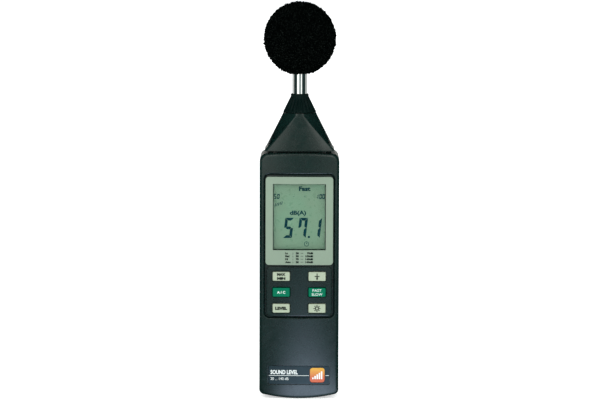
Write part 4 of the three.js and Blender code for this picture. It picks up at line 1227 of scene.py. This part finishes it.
def bar(name, x0, x1, z0, z1, width):
    """The corners of one bar of a seven-segment digit, mitred to fit its neighbours."""
    zm, gap, half = (z0 + z1) / 2, 0.06 * width, width / 2
    if name in "ad":
        edge, inner = (z1, z1 - width) if name == "a" else (z0, z0 + width)
        return [(x0 + gap, edge), (x1 - gap, edge), (x1 - width - gap, inner), (x0 + width + gap, inner)]
    if name == "g":
        tips = [(x0 + half + gap, zm), (x1 - half - gap, zm)]
        upper = [(x1 - width - gap, zm + half), (x0 + width + gap, zm + half)]
        lower = [(x0 + width + gap, zm - half), (x1 - width - gap, zm - half)]
        return [tips[0], *lower, tips[1], *upper]
    outer, inwards = (x1, -1) if name in "bc" else (x0, 1)
    end, towards = (z1, -1) if name in "bf" else (z0, 1)
    far = zm - towards * gap
    return [
        (outer, end + towards * gap), (outer, far), (outer + inwards * half, far),
        (outer + inwards * width, far - towards * half),
        (outer + inwards * width, end + towards * (width + gap)),
    ]


def digit(character, x0, x1, z0, z1, width, y, slant):
    """A seven-segment digit, leaning to the right."""
    bars = []
    for name in SEGMENTS[character]:
        outline = bar(name, x0, x1, z0, z1, width)
        bars.append(flat_shape([(x + slant * (z - z0), z) for x, z in outline], y))
    return bars


def display_content():
    """What the display shows: mode, bar scale, unit and reading."""
    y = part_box("lcd_glass")[0].y - INK / 2
    foot, head = READING_ROW
    drawn = [words(text, bounds, y, weight) for text, bounds, weight in DISPLAY_WORDS]
    for character, x0, x1 in SCALE_ENDS:
        drawn += digit(character, x0, x1, *SCALE_ROW, 0.78, y, 0.08)
    for i in range(5):
        low = Vector(TICK_START) + Vector(TICK_STEP) * i
        drawn.append(stroke(low, low + Vector(TICK_RISE), 0.6, y))
    for character, x0, x1 in READING:
        drawn += digit(character, x0, x1, foot, head, 2.4, y, 0.12)
    drawn.append(flat_shape(rounded_rect(7.3, 9.1, foot, foot + 1.8, 0.3, 3), y))
    drawn += clock_sign((6.2, 133.3), 1.9, y)
    dress(merged("content", drawn), "display_content", "ink_lcd", slot="lcd_glass")
    faint = [ring_print((x, 174), 0.3, 0.3, y, 12) for x in (-4.8, 4.4)]
    dress(merged("faint", faint), "display_marks", "ink_lcd_faint", slot="lcd_glass")


def clock_sign(centre, radius, y):
    x, z = centre
    hands = [stroke((x, z), (x, z + radius * 0.62), 0.4, y)]
    hands.append(stroke((x, z), (x + radius * 0.5, z), 0.4, y))
    return [ring_print(centre, radius, 0.45, y), *hands]


# The foot of the range table's first row, the step down to the next and the letters' height, in mm
RANGE_FIRST_ROW = 124.9
RANGE_ROW_STEP = 2.55
RANGE_HEIGHT = 1.8
RANGES = [("Lo", "20", "70"), ("Med", "50", "100"), ("Hi", "70", "140"), ("Auto", "20", "140")]


def range_table():
    """The list of measuring ranges printed under the display."""
    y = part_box("display_window")[0].y - INK / 2
    drawn = []
    for row, (name, low, high) in enumerate(RANGES):
        z = RANGE_FIRST_ROW - RANGE_ROW_STEP * row
        top = z + RANGE_HEIGHT
        columns = [
            (name, (-12, 1.2 * len(name) - 12, z, top)), (":", (-5.7, -5.1, z, z + 1.3)),
            (low, (-3, -0.4, z, top)), ("~", (1.2, 3.4, z + 0.6, z + 1.2)),
            (f"{high}dB", (11.9 - 1.32 * (len(high) + 2), 11.9, z, top)),
        ]
        drawn += [words(text, bounds, y, 0.065) for text, bounds in columns]
    table = follow_face(merged("table", drawn))
    dress(table, "range_table", "ink_black", slot="window_print")


# ---- Keypad ----


def key_cap(key, finish):
    """A cap with a soft pillow face, on the flange that keeps it behind the shell."""
    lo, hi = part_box(key)
    outline = cap_outline(key)
    flange_front = hi.y - KEY_FLANGE_THICK
    pillow, fall = 2.4 * MM, 0.28 * MM
    rings = [at_depth(outline(-3.2 * MM), lo.y)]
    for i in range(7):
        t = 1 - i / 7
        rings.append(at_depth(outline(-EDGE - (pillow - EDGE) * t), lo.y + fall * (1 - t) ** 2))
    rings += round_over(outline, EDGE, lo.y + fall, EDGE)
    for grow, y in ((0, flange_front), (KEY_FLANGE, flange_front), (KEY_FLANGE, hi.y)):
        rings.append(at_depth(outline(grow), y))
    dress(smooth(loft("cap", rings), 40), f"cap_{key}", finish, key, body=key)


def legend(key, shapes, finish):
    """Printed shapes on a cap, moved from the cap's own middle to its place."""
    centre = middle(key)
    print_ = merged("legend", shapes)
    print_.data.transform(Matrix.Translation((centre.x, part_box(key)[0].y, centre.z)))
    dress(print_, f"legend_{key}", INKS[finish], body=key, slot=finish)


def centred_words(text, width, height, z=0.0, weight=0.02):
    return words(text, (-width / 2, width / 2, z - height / 2, z + height / 2), 0, weight)


def power_sign():
    """A plain cross on a small block."""
    block = rounded_rect(-0.7, 0.7, -2.7, -0.7, 0.2, 3)
    upright = stroke((0, -0.9), (0, 2.7), 0.75, 0)
    return [flat_shape(block, 0), upright, stroke((-2.1, 0.1), (2.1, 0.1), 0.75, 0)]


def sun_sign():
    drawn = [ring_print((0, 0), 1.35, 0.8, 0)]
    for i in range(8):
        turn = math.radians(45 * i)
        ray = Vector((math.cos(turn), math.sin(turn)))
        drawn.append(stroke(ray * 1.9, ray * 3, 0.7, 0))
    return drawn


INKS = {"beige_key": "ink_black", "green_key": "ink_white"}


def keypad():
    up, down, heavy = 1.7, -1.7, 0.07
    legends = {
        "key_max_min": lambda: [
            centred_words("MAX", 7.1, 2.4, up, heavy), centred_words("MIN", 7.1, 2.4, down, heavy),
        ],
        "key_power": power_sign,
        "key_weighting": lambda: [centred_words("A / C", 7, 2.3)],
        "key_response": lambda: [
            centred_words("FAST", 7.6, 2.2, up, 0.0), centred_words("SLOW", 9.2, 2.2, down, 0.0),
        ],
        "key_level": lambda: [centred_words("LEVEL", 10.2, 2.8, 0, heavy)],
        "key_light": sun_sign,
    }
    colors = {key: "green_key" if key in GREEN_KEYS else "beige_key" for key in KEYS}
    for key, color in colors.items():
        key_cap(key, color)
    for key, color in colors.items():
        legend(key, legends[key](), color)


# ---- Label ----


# Titles with their bounds and weight, and the ends of the rules, in mm
TITLES = [
    ("SOUND LEVEL", (-24.3, -0.9, 21.1, 24.8), 0.03), ("20 ... 140 dB", (-24.3, -8.9, 16.1, 18.4), 0.0),
]
TITLE_RULES = [(-25.9, 8.7), (22.9, 25.8)]


def label():
    """The title plate with a generic title, and a rule that runs on either side of the badge."""
    lo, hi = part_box("title_label")
    outline = node_rect("title_label", LABEL_CORNER, LABEL_INSET)
    plate = slab("label", outline, lo.y, hi.y, FINE_EDGE)
    cut(plate, [slab("badge", badge_outline(CLEARANCE), lo.y - REACH, hi.y + REACH)])
    dress(smooth(follow_face(plate)), "label_plate", "label_sheet", "title_label")
    y = lo.y - INK / 2
    rule = middle("badge").z / MM - 0.4
    drawn = [words(text, bounds, y, weight) for text, bounds, weight in TITLES]
    drawn += [stroke((x0, rule), (x1, rule), 0.35, y) for x0, x1 in TITLE_RULES]
    title = follow_face(merged("title", drawn))
    dress(title, "title", "ink_white", slot="label_sheet")


BAR_DROP = 3.4
BAR_STEP = 1.85
BAR_HALF = 0.6
BAR_SHORTEST = 1.5
BAR_RISE = 1.3


def badge_outline(by=0.0):
    return grown(node_rect("badge", 2.4 * MM), by)


def badge():
    """A square enamel badge with rising level bars."""
    lo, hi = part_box("badge")
    plate = slab("badge", badge_outline(), lo.y, hi.y, 0.3 * MM)
    dress(smooth(crown(plate)), "badge_plate", "badge_enamel", "badge")
    centre = middle("badge") / MM
    foot = centre.z - BAR_DROP
    bars = []
    for i in range(5):
        x = centre.x + (i - 2) * BAR_STEP
        top = foot + BAR_SHORTEST + BAR_RISE * i
        outline = rounded_rect(x - BAR_HALF, x + BAR_HALF, foot, top, 0.25, 3)
        bars.append(flat_shape(outline, lo.y - INK / 2))
    dress(crown(merged("bars", bars)), "badge_bars", "ink_white", slot="badge_enamel")


# ---- Sockets ----


def barrel(node, bore):
    """A socket: a square body inside the case and a round barrel in the case's hole."""
    lo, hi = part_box(node)
    radius = SIDE_BARRELS[node]
    body_front = CASE_HALF - WALL - CLEARANCE
    body = box_tool(lo, (body_front, hi.y, hi.z))
    bevel = body.modifiers.new("bevel", "BEVEL")
    bevel.width = EDGE
    bevel.segments = 3
    settle(body)
    profile = [(radius, body_front - EDGE), (radius, hi.x - EDGE), (radius - EDGE, hi.x)]
    join(body, [in_line(turned("barrel", profile, 64), node, "X")])
    hole = [(bore, lo.x + REACH), (bore, hi.x - EDGE), (bore + EDGE, hi.x), (bore + EDGE, hi.x + REACH)]
    return smooth(cut(body, [in_line(turned("bore", hole, 64), node, "X")]))


def jack(node):
    """A 3.5 mm output jack: a plastic body and a metal sleeve."""
    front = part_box(node)[1].x
    dress(barrel(node, 1.8 * MM), f"body_{node}", "socket_plastic", node)
    corners = [(1.72, -9), (2.35, -9), (2.35, 0.25), (1.72, 0.25)]
    profile = rounded_profile([(r * MM, front + x * MM) for r, x in corners], 0.1 * MM)
    sleeve = in_line(turned("sleeve", profile, 64, closed=True), node, "X")
    dress(smooth(sleeve, 40), f"sleeve_{node}", "polished_metal")


def power_inlet():
    node = "power_socket"
    lo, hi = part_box(node)
    dress(barrel(node, 3 * MM), "power_inlet", "socket_plastic", node)
    profile = [(1.0 * MM, lo.x + REACH)]
    profile += [(r * MM, hi.x - x * MM) for r, x in ((1.0, 2), (0.8, 1.6), (0.35, 1.45))]
    pin = in_line(turned("pin", profile, 48), node, "X")
    dress(smooth(pin), "power_pin", "polished_metal")


def rotor():
    """The calibration trimmer's brass screw, slotted across its face."""
    lo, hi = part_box("trimmer_rotor")
    centre = middle("trimmer_rotor")
    radius = (hi.z - lo.z) / 2
    half_slot = 0.3 * MM
    profile = [(radius - FINE_EDGE, lo.x), (radius, lo.x + FINE_EDGE)]
    for i in range(6):
        x = hi.x - (4.6 - 0.7 * i) * MM
        profile += [(radius, x), (radius - 0.12 * MM, x + 0.15 * MM), (radius, x + 0.3 * MM)]
    profile += [(radius, hi.x - 0.25 * MM), (radius - 0.25 * MM, hi.x)]
    body = in_line(turned("rotor", profile, 64), "trimmer_rotor", "X")
    slot_lo = (hi.x - 0.9 * MM, centre.y - half_slot, lo.z - REACH)
    cut(body, [box_tool(slot_lo, (hi.x + REACH, centre.y + half_slot, hi.z + REACH))])
    dress(smooth(body), "rotor", "turned_brass", "trimmer_rotor", body="trimmer")


# ---- Fasteners ----


def case_screw(node):
    """A pan-head screw with a cross recess and a threaded shank."""
    lo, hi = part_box(node)
    centre = middle(node)
    head = (hi.x - lo.x) / 2
    seat = hi.y - 2 * MM
    shank, depth, pitch, turns = 1.25 * MM, 0.28 * MM, 0.8 * MM, 14
    thread = lo.y + 1.4 * MM
    profile = [(0.3 * MM, lo.y), (shank, lo.y + 1.2 * MM)]
    for i in range(turns):
        profile += [(shank - depth, thread + pitch * i), (shank, thread + pitch * i + pitch / 2)]
    profile += [(shank - depth, thread + pitch * turns), (shank - 0.1 * MM, seat), (head, seat)]
    profile.append((head, seat + 0.9 * MM))
    profile += [(head * (0.55 + 0.45 * c), seat + (0.9 + 1.1 * s) * MM) for s, c in quarter(6)[1:]]
    body = in_line(turned("screw", profile, 48), node, "Y")
    arms = []
    for long, wide in ((0.62, 0.2), (0.2, 0.62)):
        x, z = head * long, head * wide
        rings = []
        for size, y in ((0.55, hi.y - 1.3 * MM), (1, hi.y + EDGE)):
            arm = [(a * size, b * size) for a, b in ((-x, -z), (x, -z), (x, z), (-x, z))]
            rings.append(at_depth([(centre.x + a, centre.z + b) for a, b in arm], y))
        arms.append(loft("arm", rings))
    cut(body, arms)
    dress(smooth(body), f"fixing_{node}", "plated_steel", node)


def insert():
    """The brass tripod bush, with a threaded bore."""
    lo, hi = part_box("tripod_insert")
    outer, bore, pitch = (hi.x - lo.x) / 2, 3.175 * MM, 1.27 * MM
    edge = 0.3 * MM
    corners = [(outer, lo.y + edge), (outer, hi.y - edge), (outer - edge, hi.y), (bore + 2 * edge, hi.y)]
    for i in range(int((hi.y - lo.y - 4 * edge) / pitch)):
        y = hi.y - 2 * edge - pitch * i
        corners += [(bore, y), (bore + 0.45 * MM, y - pitch / 2)]
    corners += [(bore, lo.y + edge), (bore + edge, lo.y), (outer - edge, lo.y)]
    body = in_line(turned("insert", corners, 64, closed=True), "tripod_insert", "Y")
    dress(smooth(body), "tripod_bush", "turned_brass", "tripod_insert")


# ---- Studio ----

AIM = Vector((0.0005, 0, 0.1689))
TILT = math.radians(6.3)
ROLL = math.radians(0.19)
DISTANCE = 2
LENS = 139.4
FLOOR_RADIUS = 12
FLOOR_DEPTHS = (-0.02, -0.0002)
FLOOR_COLOR = (0.93, 0.93, 0.93)
FLOOR_GLOW = 0.5
SKY_COLOR = (0.97, 1.0, 1.0, 1)
SKY_STRENGTH = 1.1
# Name, place, size, power and colour
LAMPS = [
    ("key", (-0.9, -1.3, 1.2), 0.8, 6, (1, 1, 0.98)), ("fill", (1.2, -0.9, 0.6), 1.0, 3, (0.95, 1, 1)),
]


def look_at(obj, target):
    obj.rotation_mode = "QUATERNION"
    obj.rotation_quaternion = (target - obj.location).to_track_quat("-Z", "Y")


def camera():
    data = bpy.data.cameras.new("camera")
    data.lens = LENS
    data.clip_end = 100
    eye = linked("camera", data)
    eye.location = AIM + Vector((0, -math.cos(TILT), math.sin(TILT))) * DISTANCE
    look_at(eye, AIM)
    eye.rotation_quaternion @= Quaternion((0, 0, 1), ROLL)
    bpy.context.scene.camera = eye


def floor():
    disc = turned("floor", [(FLOOR_RADIUS, z) for z in FLOOR_DEPTHS], 96)
    glow = {"Emission_Color": (1, 1, 1, 1), "Emission_Strength": FLOOR_GLOW}
    disc.data.materials.append(finish("floor", FLOOR_COLOR, 0.9, [], ((300,), 0.02), **glow))


def world():
    sky = bpy.data.worlds.new("world")
    sky.use_nodes = True
    background = sky.node_tree.nodes["Background"]
    background.inputs["Color"].default_value = SKY_COLOR
    background.inputs["Strength"].default_value = SKY_STRENGTH
    bpy.context.scene.world = sky


# Brightness of the studio's walls by bearing, in degrees to the right of the camera: beside the
# microphone's tube, below it and above it
TUBE_WALLS = [
    (-180, 0.8), (-168, 0.75), (-161, 0.1), (-152, 0.1), (-146, 0.7), (-104, 0.65), (-96, 0.03),
    (-44, 0.03), (-37, 1.7), (-11, 1.7), (-6, 0.15), (14, 0.15), (18, 1.5), (31, 1.5), (37, 0.06),
    (60, 0.04), (92, 0.03), (100, 0.6), (146, 0.65), (152, 0.1), (161, 0.1), (168, 0.75),
    (180, 0.8),
]
LOW_WALLS = [
    (-180, 0.3), (-155, 0.4), (-118, 0.36), (-106, 0.1), (-60, 0.08), (-24, 0.2), (-15, 1.15),
    (-9.5, 1.4), (-4, 0.12), (4, 0.12), (9.5, 1.2), (15, 1.0), (24, 0.18), (60, 0.06),
    (106, 0.1), (118, 0.36), (155, 0.4), (180, 0.3),
]
HIGH_WALLS = [
    (-180, 0.0), (-50, 0.0), (-30, 0.1), (-20, 2.3), (-12, 2.3), (-7, 0.02), (7, 0.02), (12, 2.3),
    (20, 2.3), (30, 0.1), (50, 0.0), (180, 0.0),
]
WALL_RADIUS = 0.85
TUBE_BAND = (0.17, 0.28)
BAND_FADE = 0.02
TABLE_NEAR = (0.07, 0.3, 0.75)
TABLE_LEVELS = (4.2, 1.8, 0.5)
TABLE_WIDTH = (0.012, 0.05)
TABLE_CENTRE = 0.012
TABLE_DARK = 0.06
TABLE_BEHIND = (0.08, 0.22)
TABLE_REAR = 0.3
TABLE_START = (0.02, 0.04)
TABLE_DEPTHS = (-0.0004, -0.0001)
# The least share of red on the walls, how it grows with brightness, and the share of blue
TUBE_RED = 0.5
WALL_RED = 0.15
RED_RISE = 0.8
BLUE_SHARE = 0.95
TABLE_GLOW = (0.8, 0.93, 1.2)


class Glow(Shader):
    """An emission whose strength is worked out from the place on the surface."""

    def __init__(self, name):
        super().__init__(name)
        self.nodes.remove(self.surface)
        self.x, self.y, self.z = self.add("SeparateXYZ", Vector=self.place()).outputs

    def fade(self, *spans):
        return self.remap(*spans, kind="SMOOTHSTEP")

    def by_bearing(self, walls, red):
        bearing = self.math("ARCTAN2", self.x, self.math("MULTIPLY", self.y, -1.0))
        turn = self.math("ADD", self.math("MULTIPLY", bearing, 0.5 / math.pi), 0.5)
        ramp = self.add("ValToRGB", Fac=turn)
        stops = ramp.color_ramp.elements
        stops.remove(stops[0])
        for index, (degrees, level) in enumerate(walls):
            position = (degrees + 180) / 360
            stop = stops[0] if index == 0 else stops.new(position)
            stop.position = position
            share = min(1.0, red + RED_RISE * level)
            stop.color = (level * share, level, level * BLUE_SHARE, 1)
        return ramp.outputs["Color"]

    def mixed(self, colors, shares):
        """Adds colours up, each by its share."""
        total = None
        for color, share in zip(colors, shares):
            scale = self.add("VectorMath", {"operation": "SCALE"}, Vector=color, Scale=share)
            part = scale.outputs["Vector"]
            if total is not None:
                add = self.add("VectorMath", {"operation": "ADD"})
                self.feed(add.inputs[0], total)
                self.feed(add.inputs[1], part)
                part = add.outputs["Vector"]
            total = part
        return total


def seen_in_reflections(obj, material):
    obj.data.materials.append(material)
    for ray in ("camera", "diffuse", "shadow", "transmission"):
        setattr(obj, f"visible_{ray}", False)


def studio_walls():
    """Soft boxes in front, and dark sides and back."""
    steps = [math.radians(angle) for angle in range(-6, 90, 6)]
    rings = [(WALL_RADIUS * math.cos(step), WALL_RADIUS * math.sin(step)) for step in steps]
    glow = Glow("studio_walls")
    low, high = TUBE_BAND
    over_low = glow.fade(glow.z, low - BAND_FADE, low)
    over_high = glow.fade(glow.z, high, high + BAND_FADE)
    under_low = glow.math("SUBTRACT", 1.0, over_low)
    between = glow.math("SUBTRACT", over_low, over_high)
    walls = [(LOW_WALLS, WALL_RED), (TUBE_WALLS, TUBE_RED), (HIGH_WALLS, WALL_RED)]
    colors = [glow.by_bearing(levels, red) for levels, red in walls]
    color = glow.mixed(colors, (under_low, between, over_high))
    material = glow.end(glow.add("Emission", Color=color))
    seen_in_reflections(turned("studio_walls", rings, 72), material)


def studio_table():
    """A light table: bright close in front of the meter, fading further out and to the sides."""
    glow = Glow("studio_table")
    ahead = glow.math("MULTIPLY", glow.y, -1.0)
    near, mid, far = TABLE_NEAR
    first, second, third = TABLE_LEVELS
    close = glow.fade(ahead, near, mid, first - second, 0.0)
    beyond = glow.fade(ahead, mid, far, second, third)
    across = glow.math("ABSOLUTE", glow.math("SUBTRACT", glow.x, TABLE_CENTRE))
    strip = glow.fade(across, *TABLE_WIDTH, 1.0, 0.0)
    strength = glow.math("MULTIPLY", glow.math("ADD", close, beyond), strip)
    strength = glow.math("MULTIPLY", strength, glow.fade(ahead, *TABLE_START))
    behind = glow.fade(glow.y, *TABLE_BEHIND, TABLE_DARK, TABLE_REAR)
    strength = glow.math("MAXIMUM", strength, behind)
    table = turned("studio_table", [(WALL_RADIUS, z) for z in TABLE_DEPTHS], 72)
    material = glow.end(glow.add("Emission", Color=(*TABLE_GLOW, 1), Strength=strength))
    seen_in_reflections(table, material)


def lamp(name, location, size, power, color):
    data = bpy.data.lights.new(name, "AREA")
    data.size = size
    data.energy = power
    data.color = color
    light = linked(name, data)
    light.location = location
    look_at(light, AIM)
    light.visible_glossy = False


# ---- The model ----

dress_cad_nodes()
CASE = [front_shell, trench_shade_strip, rear_shell, battery_door, battery_foam]
MICROPHONE = [nose, neck_gasket_and_gap_shade, collar, tube, capsule, grid, seal, foam_ball]
FACE = [window_border, gasket, liquid_crystal, display_content, range_table, keypad, label, badge]
for build in CASE + MICROPHONE + FACE:
    build()
jack("output_jack_ac")
jack("output_jack_dc")
power_inlet()
rotor()
for screw in CASE_SCREWS:
    case_screw(screw)
insert()

camera()
floor()
world()
studio_walls()
studio_table()
for name, spot, size, power, color in LAMPS:
    lamp(name, Vector(spot), size, power, color)
bpy.context.scene.view_settings.view_transform = "Standard"
